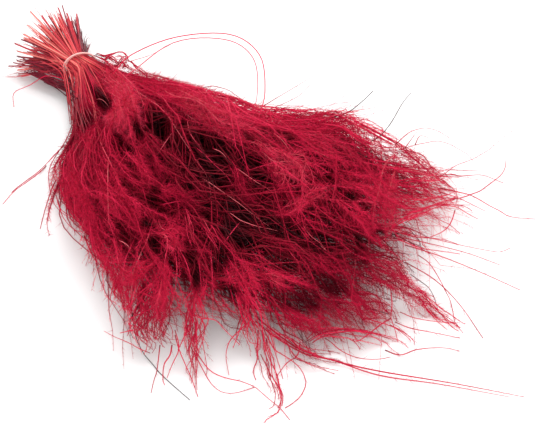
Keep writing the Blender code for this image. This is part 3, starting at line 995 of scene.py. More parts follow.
    def piece(self) -> GrassPiece:
        """Returns the spray as one piece that stands for its solid."""
        rng, n = self.rng, len(self.drawn.paths)
        radial = np.tile([0.0, self.u, self.v], (self.thick_straws, 1)) + [0.0, 1e-3, 1e-3]
        straws = self.thick.tubes(7, Finish.STRAW, radial, rng.uniform(0.6, 1.0, self.thick_straws),
                                  rng.uniform(-1.5, 1.5, self.thick_straws), 0.03)
        slim = self.slim.tubes(5, Finish.STRAW, map_width=0.03)
        hairs = self.feathering.hairs(self.drawn, rng.uniform(0.04, 0.32, n),
                                      np.full(n, self.hair_share), self.shade.unshaded, rng, self.kept)
        name = f"spray_{self.index:02d}"
        surfaces = [straws, slim, self.drawn.tubes(3, Finish.AWN), hairs]
        return GrassPiece(f"{name}_grass", (name,), surfaces)


@dataclass(frozen=True)
class Line:
    """A strand, or a lock of them, read off the photo: its name and the pixels that it passes."""

    name: str
    pixels: Pixels
    width: float = 0.0
    count: int = 1
    tone: float | None = None


@dataclass(frozen=True)
class Manner:
    """How the strands of a tracing are made, and how they lie on the bunch."""

    radius: float
    tone: float
    tone_spread: float = 0.05
    lifts: Triple = (-0.004, 0.0016, -0.0015)  # over the top: root, middle, tip
    lift_spread: float = 0.0004
    taper: Triple = (0.8, 1.0, 0.25)  # at the root, a quarter along, at the tip
    hairs: float = 0.0  # times the plain number
    facing: float = 0.0  # how far a strand stays as near the camera as its root
    finish: Finish = Finish.AWN
    points: int = 22
    looseness: float = 1.0  # how far the strands of a lock stray and sway
    shaded: float = 0.0  # how much of the clearings' painted shade darkens it
    feathering: Feathering = Feathering(length=0.0040, tip_length=0.0020)


@dataclass(frozen=True)
class Tracing:
    """A set of lines in one manner, which makes one visible piece. Shares are of a line's length."""

    name: str
    manner: Manner
    lines: tuple[Line, ...]
    curve_steps: int = 8
    starts: Range = (0.0, 0.40)
    ends: Range = (0.70, 1.0)
    widths: Range = (0.6, 0.5)  # of a lock at its root, and what it gains by the middle
    straying: float = 0.24
    sway: float = 0.10
    waves: Range = (0.35, 1.0)
    ripple: Range = (0.6, 2.3)  # pixels, and how many times quicker than the sway
    lift_stops: tuple[float, ...] = (0.0, 0.14, 0.8, 1.0)
    root_shade: float = 0.55
    root_part: float = 0.15
    taper_stops: tuple[float, ...] = (0.0, 0.25, 1.0)
    size_spread: Range = (0.85, 1.15)
    sides: int = 4
    bare_root: float = 0.03

    def drawn_line(self, line: Line, rng: np.random.Generator) -> Array:
        """Draws the strands of one line: beside each other, a little wavy, of uneven length.

        A strand is line(share) + width (across + sway(share)) N + ripple N, where N stands square
        to the line. One that is alone follows the line.

        Args:
            line: The line.
            rng: Source of the random draws.

        Returns:
            Pixels, (count, m, 2).
        """
        path = smooth_path(np.array(line.pixels, float), self.curve_steps)
        share = np.linspace(0.0, 1.0, self.manner.points)[None]
        if line.count == 1:
            return read_along(path, share)
        first = rng.uniform(*self.starts, (line.count, 1))
        last = rng.uniform(*self.ends, (line.count, 1))
        share = first + (last - first) * share
        normal = unit(np.stack([-np.gradient(path[:, 1]), np.gradient(path[:, 0])], axis=-1))
        spread = self.widths[0] + self.widths[1] * smooth_step(2.0 * share)
        across = rng.uniform(-0.5, 0.5, (line.count, 1)) * spread
        loose = self.manner.looseness
        across = across + rng.normal(0.0, self.straying * loose, (line.count, 1)) * (share - first)
        sway = Sway.drawn(rng, np.arange(line.count), self.sway * loose, self.waves)
        ripple, quicker = self.ripple
        offset = line.width * (across + sway.at(share)) + ripple * sway.at(share * quicker)
        return read_along(path, share) + offset[..., None] * read_along(normal, share)

    def piece(self, sight: Sight, shade: Shade) -> GrassPiece:
        """Lays the strands on the bunch and gives them their hairs.

        Args:
            sight: Finds the places of pixels on the bunch.
            shade: Gives the share of the tone that the clearings' painted shade leaves.

        Returns:
            The piece, which stands for no solid.
        """
        manner = self.manner
        rng = np.random.default_rng([SEED, *self.name.encode()])
        pixels = np.concatenate([self.drawn_line(line, rng) for line in self.lines])
        n, m = pixels.shape[:2]
        share = np.linspace(0.0, 1.0, m)
        start, middle, end = manner.lifts
        lifts = np.interp(share, self.lift_stops, [start, middle, middle, end])
        lifts = lifts + rng.normal(0.0, 1.0, (n, 1)) * manner.lift_spread
        paths = sight.laid(pixels, lifts, manner.facing)
        tone = np.concatenate([np.full(line.count, line.tone or manner.tone) for line in self.lines])
        tone = tone + rng.normal(0.0, manner.tone_spread, n)
        root_shade = squeezed(smooth_step(share / self.root_part), self.root_shade)
        # The clearings' painted shade, by the manner's share.
        shown = 1.0 - manner.shaded * (1.0 - shade.unshaded(paths))
        tones = np.clip(tone[:, None] * root_shade * shown, 0.0, 1.0)
        taper = np.interp(share, self.taper_stops, manner.taper)
        radii = manner.radius * taper * rng.uniform(*self.size_spread, (n, 1))
        strands = Strands(paths, radii, tones)
        surfaces = [strands.tubes(self.sides, manner.finish)]
        if manner.hairs:
            surfaces.append(manner.feathering.hairs(strands, np.full(n, self.bare_root),
                                                    np.full(n, manner.hairs), shade.unshaded, rng))
        return GrassPiece(self.name, (), surfaces)


WOOL = Feathering(length=0.0078, tip_length=0.0042, spacing=0.00088, lean=(0.2, 1.15), row_spread=0.9)
DOWN = Feathering(length=0.0048, tip_length=0.0020, spacing=0.0012, lean=(0.2, 0.8))
PLUME = Manner(0.00019, 0.84, lifts=(-0.004, 0.001, -0.002), lift_spread=0.0018, hairs=1.8, points=14,
               shaded=0.8, feathering=WOOL)

PLUMES_BY_THE_BAND = Tracing("plumes_by_the_band", PLUME, (
    Line("top_fluff", ((100, 60), (130, 72), (160, 85), (190, 100), (220, 120)), 14, 11, 0.74),
    Line("top_bright", ((150, 85), (190, 105), (230, 125), (265, 140)), 22, 16, 0.95),
    # top_ribbon's high tone is partly a painted highlight.
    Line("top_ribbon", ((240, 140), (255, 142), (265, 148), (272, 154), (282, 162)), 5, 6, 0.96),
    Line("left_wool", ((140, 180), (160, 190), (175, 192), (188, 197), (196, 203), (208, 205)), 14, 9),
    Line("left_woolly_hook", ((152, 215), (160, 225), (170, 228), (178, 235), (180, 245), (182, 255)),
         24, 13, 0.9),
    Line("left_sweep", ((160, 255), (148, 265), (135, 274), (122, 280), (110, 283)), 12, 8, 0.82),
    Line("left_edge", ((70, 130), (74, 160), (80, 190), (92, 220), (104, 248)), 18, 12, 0.74),
    Line("left_inner", ((92, 130), (100, 160), (110, 185), (124, 210), (138, 232)), 20, 12, 0.8),
    Line("left_low", ((90, 215), (100, 238), (115, 260), (128, 285), (135, 310)), 20, 12, 0.78),
    Line("below_tuft", ((124, 140), (140, 155), (150, 172), (160, 185)), 18, 9, 0.78)))

TUFT = Tracing("tuft", Manner(
    0.00022, 0.97, lifts=(-0.003, 0.004, 0.0), lift_spread=0.0016, hairs=2.4, points=14,
    looseness=1.4, feathering=WOOL), (
    Line("down", ((92, 58), (105, 70), (118, 85), (127, 100), (131, 115), (130, 130), (124, 142)), 20, 20),
    Line("heart", ((110, 82), (118, 95), (122, 108), (121, 122), (115, 136)), 19, 13, 1.0)))

PLUMES_OF_THE_FAR_SIDE = Tracing("plumes_of_the_far_side", PLUME, (
    Line("bright_right", ((258, 145), (270, 155), (280, 160), (292, 170), (295, 180), (296, 195)),
         26, 16, 0.97),
    Line("bright_right_upper", ((275, 125), (300, 140), (325, 155), (345, 175)), 22, 12, 0.86),
    Line("middle_sweep", ((230, 155), (238, 172), (245, 190), (255, 203), (262, 210)), 12, 8, 0.85),
    Line("right_middle", ((262, 212), (275, 213), (290, 211), (300, 205), (310, 198), (320, 193),
         (330, 190)), 12, 9, 0.9),
    Line("curtain", ((405, 150), (393, 165), (388, 180), (386, 200), (385, 225), (384, 240)), 16, 12, 0.92),
    Line("right_band_1", ((320, 165), (345, 180), (370, 190), (395, 200), (420, 206)), 22, 13, 0.82),
    Line("right_band_2", ((330, 195), (350, 212), (368, 228), (380, 250)), 20, 11, 0.82),
    Line("right_edge", ((380, 150), (405, 162), (425, 178), (445, 195)), 20, 11, 0.74),
    Line("far_top", ((250, 112), (285, 118), (320, 124), (355, 135)), 14, 10, 0.7)))

PLUMES_OF_THE_NEAR_SIDE = Tracing("plumes_of_the_near_side", replace(PLUME, tone=0.74, hairs=1.6), (
    Line("low_middle", ((258, 280), (265, 276), (275, 278), (285, 283), (295, 288), (305, 292), (320, 295)),
         14, 10, 0.92),
    Line("left_lobe_root", ((162, 250), (158, 280), (154, 305), (153, 325)), 24, 12, 0.8),
    Line("middle_lobe_root", ((190, 255), (200, 280), (195, 300), (195, 315)), 13, 8, 0.82),
    Line("swept_lock_root", ((215, 245), (230, 265), (240, 285), (248, 305)), 14, 8, 0.82),
    Line("swept_lock_inner", ((235, 250), (250, 280), (262, 300)), 9, 7, 0.82),
    Line("low_right_1", ((300, 245), (320, 262), (340, 278), (362, 290)), 20, 10, 0.74),
    Line("low_right_2", ((350, 250), (370, 264), (392, 278), (410, 292)), 20, 10, 0.78),
    Line("low_front", ((265, 300), (285, 312), (305, 325), (330, 335)), 18, 10, 0.70),
    Line("low_right_3", ((325, 262), (352, 284), (376, 302), (398, 322)), 24, 13, 0.66),
    Line("low_right_4", ((355, 252), (390, 276), (422, 298), (446, 318)), 20, 11, 0.70),
    Line("low_front_2", ((285, 285), (308, 308), (328, 326), (346, 342)), 24, 13, 0.60),
    Line("low_right_5", ((300, 270), (330, 296), (352, 314), (374, 334)), 22, 12, 0.56)))

TAILS = Tracing("tails", Manner(
    0.00030, 0.64, tone_spread=0.10, lifts=(-0.002, 0.0012, 0.0004), lift_spread=0.0012, hairs=0.8,
    looseness=1.6, taper=(1.0, 0.95, 0.5), points=20, feathering=DOWN), (
    Line("left_lobe", ((162, 270), (158, 290), (154, 310), (152, 332), (157, 352)), 27, 38, 0.56),
    Line("middle_lobe", ((195, 280), (196, 300), (195, 330), (198, 360)), 17, 16, 0.62),
    Line("middle_lobe_tail", ((185, 300), (195, 320), (196, 345), (197, 370), (198, 390)), 10, 8, 0.66),
    Line("lower_edge", ((262, 322), (275, 332), (290, 340), (300, 350), (315, 356), (332, 361), (350, 366)),
         12, 9, 0.56),
    Line("swept_lock", ((222, 258), (240, 285), (248, 305), (255, 320), (262, 340), (265, 360)),
         17, 18, 0.62),
    Line("hooked_tail", ((255, 320), (262, 335), (262, 350), (265, 365), (266, 375), (270, 383), (274, 390),
         (275, 397), (273, 405), (265, 408), (257, 412)), 13, 6, 0.70),
    Line("bottom_right_lock", ((400, 280), (415, 290), (430, 305), (440, 315), (455, 325), (465, 330)),
         10, 8, 0.72),
    Line("bottom_bright", ((305, 345), (320, 335), (335, 333), (350, 333), (365, 335), (380, 339),
         (392, 343), (400, 347), (405, 352)), 10, 9, 0.70)))

RIGHT_LOCKS = Tracing("right_locks", Manner(
    0.00032, 0.72, tone_spread=0.08, lifts=(-0.004, 0.002, 0.001), lift_spread=0.0015, hairs=0.4,
    taper=(0.9, 1.0, 0.5), points=18, feathering=DOWN), (
    Line("far_outline", ((300, 112), (335, 113), (350, 120), (367, 128), (385, 138), (402, 147), (416, 158),
         (431, 171), (445, 183), (457, 199)), 5, 9),
    Line("below_outline", ((306, 122), (338, 128), (360, 140), (382, 149), (402, 150), (414, 156)), 6, 8),
    Line("across_1", ((352, 158), (380, 164), (410, 169), (440, 173), (462, 176)), 6, 7, 0.80),
    Line("across_2", ((385, 186), (410, 182), (438, 182), (457, 190)), 6, 7, 0.84),
    Line("across_3", ((392, 196), (420, 200), (440, 197), (458, 192)), 5, 6, 0.84),
    Line("across_4", ((396, 217), (420, 212), (436, 206), (450, 202), (460, 197)), 6, 7, 0.80),
    Line("across_5", ((390, 228), (412, 217), (432, 211)), 6, 6, 0.80)))

CORAL_STEMS = Tracing("coral_stems", Manner(
    0.00050, 0.70, lifts=(-0.001, 0.0008, -0.002), taper=(1.0, 0.9, 0.45), finish=Finish.STRAW,
    points=12), (
    Line("stem_1", ((68, 70), (72, 110), (73, 118))),
    Line("stem_2", ((71, 66), (73, 80), (76, 95), (79, 108))),
    Line("stem_3", ((80, 60), (84, 72), (88, 85), (92, 97))),
    Line("stem_4", ((80, 62), (88, 85), (93, 100), (96, 115), (98, 130), (101, 140))),
    Line("stem_5", ((88, 88), (92, 98), (94, 110), (96, 125), (99, 135), (103, 147))),
    Line("stem_6", ((75, 66), (79, 85), (83, 104), (86, 122))),
    Line("stem_7", ((84, 58), (94, 74), (104, 92), (112, 108))),
    Line("stem_8", ((87, 56), (100, 68), (112, 82))),
    Line("near_1", ((66, 72), (68, 88), (70, 102), (73, 118), (77, 136)), 8, 10, 0.46),
    Line("near_2", ((71, 70), (75, 88), (78, 102), (82, 118), (87, 140)), 9, 9, 0.38)))

# Low straws under the butt: their dark tones are painted shade beneath it.
LOW_STRAWS = Tracing("low_straws", Manner(
    0.00060, 0.30, tone_spread=0.10, lifts=(0.0010, 0.0008, 0.0006), taper=(0.5, 1.0, 0.9),
    finish=Finish.STRAW, points=10), (
    Line("low_1", ((13, 66), (30, 71), (48, 78), (64, 84), (76, 92)), 5, 9, 0.16),
    Line("low_2", ((14, 58), (32, 64), (50, 70), (65, 77), (76, 86)), 9, 13, 0.24),
    Line("low_3", ((24, 71), (38, 77), (52, 83), (66, 90), (78, 98)), 6, 10, 0.10)))

STRAWS_OVER_THE_BAND = Tracing("straws_over_the_band", Manner(
    0.00056, 0.80, lifts=(0.0030, 0.0150, 0.001), taper=(0.9, 1.0, 0.6), finish=Finish.STRAW,
    points=14), (
    Line("over_1", ((46, 50), (55, 58), (61, 64), (65, 71), (68, 84), (71, 108)), tone=0.80),
    Line("over_2", ((44, 57), (54, 63), (60, 67), (64, 73), (66, 86), (69, 104)), tone=0.66),
    Line("over_3", ((52, 53), (60, 60), (66, 66), (70, 74), (74, 92)), tone=0.84),
    Line("over_4", ((40, 61), (52, 66), (59, 71), (63, 77), (66, 90)), tone=0.52)))

# Dark strands laid below the top, in the clearings and under the front and right, as painted shade that
# fills the gaps between the strands above.
SHADE_UNDERGROWTH = Tracing("undergrowth", Manner(
    0.00060, 0.36, tone_spread=0.07, lifts=(-0.010, -0.006, -0.003), lift_spread=0.0020, hairs=0.9,
    points=12, looseness=1.6, shaded=0.6, feathering=WOOL), (
    Line("right_1", ((330, 215), (370, 232), (400, 245), (425, 262)), 30, 12),
    Line("right_2", ((300, 230), (345, 250), (385, 270), (415, 290)), 32, 14),
    Line("right_3", ((270, 240), (310, 268), (345, 292), (372, 312)), 34, 14),
    Line("right_4", ((250, 250), (275, 290), (300, 320), (325, 340)), 32, 14),
    Line("right_5", ((262, 236), (300, 256), (335, 276), (366, 298)), 30, 12),
    Line("right_6", ((240, 262), (272, 282), (304, 302), (338, 322)), 30, 12, 0.46),
    Line("right_7", ((320, 282), (350, 298), (372, 312), (392, 330)), 26, 10, 0.48),
    Line("low_3", ((206, 262), (222, 290), (240, 306), (262, 318)), 24, 9, 0.40),
    Line("middle_1", ((178, 150), (215, 180), (250, 205), (290, 225)), 44, 14, 0.10),
    Line("middle_2", ((205, 200), (235, 222), (268, 240), (305, 258)), 40, 12, 0.14),
    Line("middle_3", ((300, 192), (335, 210), (368, 226), (398, 242)), 36, 12, 0.20),
    Line("low_1", ((220, 250), (235, 280), (250, 310), (262, 330)), 28, 12),
    Line("low_2", ((180, 245), (190, 270), (198, 290), (202, 306)), 26, 10),
    Line("left_1", ((140, 240), (150, 270), (152, 310), (150, 340)), 26, 14),
    Line("left_2", ((80, 180), (92, 215), (110, 245), (130, 275)), 22, 10)))

# Pale strands, partly painted highlights: the palest tone also stands in for the gloss of shiny awns.
PALE_STRANDS_AND_HIGHLIGHTS = Tracing("pale_strands", Manner(0.00026, 0.97, hairs=0.25, feathering=DOWN), (
    Line("long_column", ((105, 68), (120, 80), (135, 90), (150, 100), (160, 107), (170, 119), (180, 135),
         (190, 150), (196, 160), (203, 170), (208, 178), (211, 195))),
    Line("by_the_band_1", ((95, 100), (100, 99), (105, 102), (111, 110))),
    Line("left_1", ((97, 135), (104, 150), (110, 162), (116, 175), (121, 190))),
    Line("left_2", ((110, 150), (108, 165), (108, 200), (109, 225))),
    Line("over_the_gap", ((190, 172), (200, 177), (210, 183), (220, 190), (230, 197), (240, 204),
         (250, 212), (260, 220), (270, 227))),
    Line("beside_the_gap", ((225, 210), (233, 215), (240, 220), (250, 224), (260, 227), (270, 229),
         (278, 231))),
    Line("top_1", ((212, 148), (222, 153), (232, 165))),
    Line("top_2", ((235, 167), (245, 174), (255, 181), (265, 187), (273, 192))),
    Line("top_3", ((272, 132), (280, 138), (288, 148), (290, 155))),
    Line("top_4", ((302, 143), (312, 149), (325, 156), (330, 159))),
    Line("top_5", ((310, 140), (325, 149))),
    Line("right_1", ((302, 222), (306, 230), (312, 237), (320, 243), (326, 250), (330, 254))),
    Line("left_3", ((150, 232), (147, 240), (143, 250))),
    Line("left_4", ((144, 245), (139, 258), (134, 270), (132, 285), (131, 300))),
    Line("left_5", ((118, 240), (126, 244), (133, 252))),
    Line("right_2", ((320, 245), (328, 252)))))

# Bright strands, partly painted highlights where awns catch the light.
BRIGHT_STRANDS_AND_HIGHLIGHTS = Tracing("bright_strands", Manner(0.00026, 0.86, hairs=0.45, feathering=DOWN), (
    Line("left_ribbon", ((98, 160), (99, 170), (105, 180), (112, 187), (122, 195), (133, 199), (141, 205),
         (146, 211), (152, 220), (158, 225)), 2.5, 3),
    Line("top_1", ((187, 118), (189, 130), (193, 138), (200, 146))),
    Line("top_2", ((174, 130), (165, 143), (157, 155))),
    Line("top_3", ((130, 150), (122, 160), (115, 172), (112, 180))),
    Line("middle_1", ((193, 145), (205, 155), (215, 165), (225, 174), (232, 184), (238, 192))),
    Line("middle_2", ((160, 205), (175, 202), (185, 200))),
    Line("middle_3", ((150, 233), (160, 235))),
    Line("steep_1", ((183, 200), (186, 215), (190, 235), (196, 255)), 6, 4),
    Line("steep_2", ((200, 215), (225, 255)), 8, 5),
    Line("middle_4", ((240, 222), (232, 232), (226, 240), (223, 245))),
    Line("right_1", ((300, 210), (315, 215), (325, 225), (330, 232))),
    Line("right_2", ((350, 200), (358, 208), (363, 217), (367, 225))),
    Line("low_1", ((175, 250), (177, 270), (175, 290), (170, 310))),
    Line("low_2", ((168, 245), (165, 260), (164, 280))),
    Line("low_3", ((180, 250), (186, 262), (190, 275), (191, 290))),
    Line("low_4", ((211, 245), (212, 270), (213, 290), (213, 310), (212, 317))),
    Line("low_5", ((251, 250), (260, 262), (267, 270), (275, 277))),
    Line("low_6", ((287, 248), (293, 256), (298, 262), (300, 275))),
    Line("double_red", ((200, 302), (210, 306), (220, 310), (230, 312), (243, 315)), 2.0, 2, 0.55),
    Line("band_fluff", ((88, 55), (98, 58), (110, 62), (122, 64), (134, 69)), 9, 6, 0.72),
    Line("below_band", ((57, 68), (64, 67), (73, 62.5), (78, 60)))))

CURLS = Tracing("curls", Manner(
    0.00040, 0.64, tone_spread=0.08, lifts=(-0.001, 0.003, 0.001), taper=(1.0, 1.0, 0.7), hairs=0.5,
    facing=0.4, feathering=DOWN), (
    Line("over_1", ((92, 53), (98, 54), (105, 56), (112, 54), (119, 52), (124, 53), (127, 57), (125, 62),
         (128, 67)), 2.5, 4),
    Line("over_2", ((96, 56), (103, 60), (109, 58), (114, 61), (119, 63), (123, 58), (127, 59), (129, 65)),
         2.5, 4),
    Line("over_3", ((92, 55), (100, 58), (107, 62), (112, 66), (118, 66), (122, 62), (127, 66), (133, 70)),
         3.0, 4),
    Line("up_1", ((104, 66), (107, 59), (113, 58), (117, 63), (121, 68)), 2.0, 2),
    Line("up_2", ((122, 70), (125, 63), (121, 56), (115, 56), (112, 60)), 2.0, 2),
    Line("down", ((126, 58), (132, 62), (138, 68), (146, 74), (154, 79)), 3.0, 4)))

DARK_AWNS = Tracing("dark_awns", Manner(
    0.00036, 0.05, tone_spread=0.02, taper=(0.8, 1.0, 0.7), facing=0.3), (
    Line("right_arc", ((360, 147), (370, 142), (380, 136), (388, 127), (394, 118), (399, 109), (404, 101),
         (411, 93))),
    Line("right_1", ((350, 149), (360, 154), (370, 159), (380, 162), (390, 164))),
    Line("top_1", ((330, 118), (340, 115), (350, 111), (358, 105), (367, 97), (373, 91))),
    Line("left_long", ((130, 272), (131, 290), (131, 305), (133, 320), (135, 333), (139, 345), (146, 357),
         (152, 363), (157, 370), (165, 378), (175, 387), (190, 400))),
    Line("low_right_1", ((410, 274), (420, 281), (428, 287), (432, 293), (435, 300), (438, 310))),
    Line("low_right_2", ((350, 295), (358, 303), (368, 308), (378, 311), (388, 314)))))

HAIRS_OVER_THE_TOP = Tracing("hairs_over_the_top", Manner(
    0.00032, 0.60, facing=0.85, hairs=0.12, taper=(1.0, 0.9, 0.3), feathering=DOWN), (
    Line("top_1", ((160, 76), (170, 79), (185, 82), (200, 86))),
    Line("top_2", ((160, 81), (170, 84), (185, 85), (190, 89))),
    Line("top_3", ((203, 88), (212, 86), (222, 88), (230, 91), (237, 96), (243, 100), (250, 104),
         (256, 108))),
    Line("top_4", ((213, 95), (225, 99), (240, 100), (250, 104), (258, 108))),
    Line("hair_1", ((160, 87), (150, 76), (135, 62))),
    Line("hair_2", ((120, 64), (148, 56), (160, 50), (170, 45))),
    Line("hair_3", ((160, 86), (171, 80), (180, 70))),
    Line("hair_4", ((262, 112), (285, 103), (300, 95), (310, 85))),
    Line("hair_5", ((258, 110), (265, 105), (290, 90), (315, 75))),
    Line("edge", ((270, 112), (290, 110), (310, 109), (330, 108))),
    Line("right_1", ((395, 145), (407, 134), (415, 130), (425, 128), (435, 130), (445, 135), (452, 140))),
    Line("right_2", ((400, 150), (415, 145), (425, 143), (437, 141), (449, 144), (460, 150), (467, 154),
         (472, 160), (478, 165))),
    Line("right_3", ((405, 148), (413, 137), (417, 132))),
    Line("right_4", ((415, 145), (420, 136), (430, 138))),
    Line("right_5", ((425, 182), (440, 176), (447, 172), (455, 166), (465, 162), (473, 159), (480, 155),
         (490, 149), (500, 140), (512, 131)))))

WISPS = Tracing("wisps", Manner(
    0.00037, 0.66, lifts=(-0.003, 0.003, 0.0010), lift_spread=0.0008, hairs=0.20,
    taper=(1.0, 0.95, 0.55), facing=0.15, feathering=DOWN), (
    Line("right_1", ((405, 150), (422, 155), (430, 165), (438, 177), (446, 183), (455, 191), (457, 198),
         (456, 203))),
    Line("right_2", ((400, 167), (425, 168), (440, 170), (455, 170), (481, 171))),
    Line("right_3", ((430, 178), (450, 174), (460, 176), (481, 175), (496, 180), (503, 183))),
    Line("right_4", ((450, 200), (464, 197), (472, 194), (480, 191), (487, 186), (495, 180), (501, 175),
         (505, 168), (506, 160))),
    Line("right_5", ((440, 188), (458, 192), (470, 195), (480, 200), (490, 206), (500, 211), (508, 216),
         (520, 218), (536, 219))),
    Line("right_6", ((440, 192), (456, 197), (465, 201), (475, 206), (485, 211))),
    Line("right_7", ((440, 204), (457, 205), (463, 206), (468, 208), (472, 211))),
    Line("right_8", ((440, 205), (456, 207), (465, 212), (472, 216), (478, 219))),
    Line("right_9", ((390, 180), (430, 180))),
    Line("right_10", ((380, 190), (420, 190), (455, 190))),
    Line("right_11", ((390, 195), (430, 197), (455, 198))),
    Line("right_12", ((385, 208), (420, 208), (440, 205), (470, 205))),
    Line("right_13", ((390, 222), (415, 215), (430, 210))),
    Line("right_14", ((390, 230), (415, 237), (430, 238), (445, 240), (460, 245))),
    Line("right_15", ((395, 238), (415, 246), (425, 249), (440, 251), (460, 254))),
    Line("right_16", ((455, 210), (452, 220), (447, 228), (440, 233), (430, 237))),
    Line("right_17", ((420, 210), (440, 220), (450, 225), (460, 234))),
    Line("right_18", ((418, 255), (428, 262), (434, 270), (440, 280), (445, 290), (450, 300), (453, 312),
         (455, 322), (460, 328))),
    Line("right_arc_1", ((395, 232), (430, 238), (460, 245), (485, 250), (500, 252), (510, 248))),
    Line("right_arc_2", ((395, 236), (440, 246), (470, 254), (500, 265))),
    Line("right_arc_3", ((405, 245), (440, 256), (480, 272), (520, 290))),
    Line("right_arc_4", ((405, 262), (435, 280), (460, 305), (483, 338))),
    Line("low_right_1", ((391, 290), (392, 305), (391, 317), (395, 330), (398, 342))),
    Line("low_right_2", ((391, 318), (380, 325), (370, 333), (360, 340), (353, 341), (347, 337))),
    Line("low_right_3", ((350, 292), (365, 292), (378, 297), (390, 305))),
    Line("low_right_4", ((353, 340), (358, 346), (360, 350))),
    Line("low_right_5", ((390, 325), (400, 330), (410, 337), (415, 343))),
    Line("low_right_6", ((365, 318), (385, 324), (395, 328), (405, 335), (411, 341))),
    Line("low_right_7", ((400, 312), (415, 318), (440, 322), (460, 323))),
    Line("low_right_8", ((395, 322), (410, 328), (430, 332), (460, 338))),
    Line("low_right_9", ((385, 350), (400, 355), (415, 350), (430, 348), (445, 348), (460, 351))),
    Line("low_right_10", ((325, 338), (332, 343), (340, 350), (352, 356), (365, 359), (380, 359),
         (390, 357))),
    Line("bottom_1", ((160, 345), (157, 370), (154, 380), (151, 393))),
    Line("bottom_2", ((172, 345), (170, 355), (164, 365), (163, 380), (165, 385))),
    Line("bottom_3", ((175, 330), (179, 348), (172, 365), (167, 378))),
    Line("bottom_4", ((188, 325), (185, 335), (178, 350))),
    Line("bottom_5", ((175, 335), (180, 352), (190, 375), (195, 388), (198, 397))),
    Line("bottom_6", ((190, 325), (195, 355), (196, 375), (197, 390))),
    Line("bottom_7", ((199, 325), (201, 335), (205, 355), (207, 370), (206, 375))),
    Line("curl_1", ((190, 345), (195, 355), (202, 368), (210, 382), (218, 390), (226, 393), (235, 393),
         (243, 391), (255, 387))),
    Line("curl_2", ((195, 350), (205, 365), (212, 372), (220, 376), (230, 379), (240, 381), (248, 384),
         (255, 387), (262, 393), (270, 400), (280, 408), (290, 420))),
    Line("gap_1", ((192, 312), (200, 318), (215, 320), (225, 330), (235, 340), (240, 345))),
    Line("gap_2", ((252, 315), (249, 322), (240, 330), (232, 338), (228, 345), (226, 355), (227, 365),
         (229, 375))),
    Line("gap_3", ((248, 314), (243, 322), (238, 335), (233, 348))),
    Line("gap_4", ((251, 312), (249, 322), (247, 333), (250, 342), (258, 344))),
    Line("bottom_8", ((262, 330), (265, 345), (270, 360), (275, 370), (278, 378), (280, 388), (283, 395),
         (282, 406))),
    Line("bottom_9", ((268, 330), (272, 340), (275, 352), (279, 365), (281, 372), (283, 379))),
    Line("bottom_10", ((258, 330), (258, 345), (257, 360), (254, 368), (254, 375), (256, 380))),
    Line("bottom_loop", ((264, 330), (270, 342), (275, 350), (283, 355), (291, 360), (298, 366), (303, 373),
         (306, 383), (303, 392), (298, 399), (290, 405), (285, 408))),
    Line("bottom_11", ((300, 342), (299, 351), (296, 357), (291, 360), (285, 365), (277, 376))),
    Line("net_1", ((72, 125), (66, 140), (50, 167), (50, 190), (57, 208), (75, 222))),
    Line("net_2", ((70, 145), (60, 165), (60, 185), (62, 195), (68, 200))),
    Line("net_3", ((56, 195), (60, 208), (68, 215), (76, 219))),
    Line("net_4", ((58, 200), (62, 215), (68, 224), (75, 230), (82, 232))),
    Line("left_outline", ((84, 236), (90, 250), (95, 260), (104, 268), (114, 275), (121, 280))),
    Line("left_1", ((120, 262), (121, 272), (122, 285), (126, 295), (130, 305), (134, 312), (140, 318))),
    Line("left_2", ((122, 265), (122, 280), (121, 295), (125, 303), (132, 310), (140, 315))),
    Line("comb", ((120, 275), (117, 285), (115, 295), (116, 305)), 8, 6),
    Line("stray_1", ((150, 353), (140, 349), (127, 342), (115, 337), (104, 331))),
    Line("stray_2", ((140, 330), (134, 330), (120, 333))),
    Line("stray_3", ((68, 76), (62, 78), (46, 76), (30, 85), (14, 93), (14, 107))),
    Line("stray_4", ((70, 140), (60, 150), (40, 171), (15, 190), (2, 204)), 2.0, 2),
    Line("stray_5", ((56, 180), (51, 191), (45, 210), (40, 229)))))

TRACINGS = (PLUMES_BY_THE_BAND, TUFT, PLUMES_OF_THE_FAR_SIDE, PLUMES_OF_THE_NEAR_SIDE, TAILS,
            RIGHT_LOCKS, CORAL_STEMS, LOW_STRAWS, STRAWS_OVER_THE_BAND, SHADE_UNDERGROWTH, PALE_STRANDS_AND_HIGHLIGHTS,
            BRIGHT_STRANDS_AND_HIGHLIGHTS, CURLS, DARK_AWNS, HAIRS_OVER_THE_TOP, WISPS)


@dataclass(frozen=True)
class StrayAwn:
    """A long awn that leaves the bunch: given points, thickness, tone and hair share."""

    points: tuple[Triple, ...]
    radius: float = 0.00026
    tone: float = 0.72
    hairs: float = 0.0


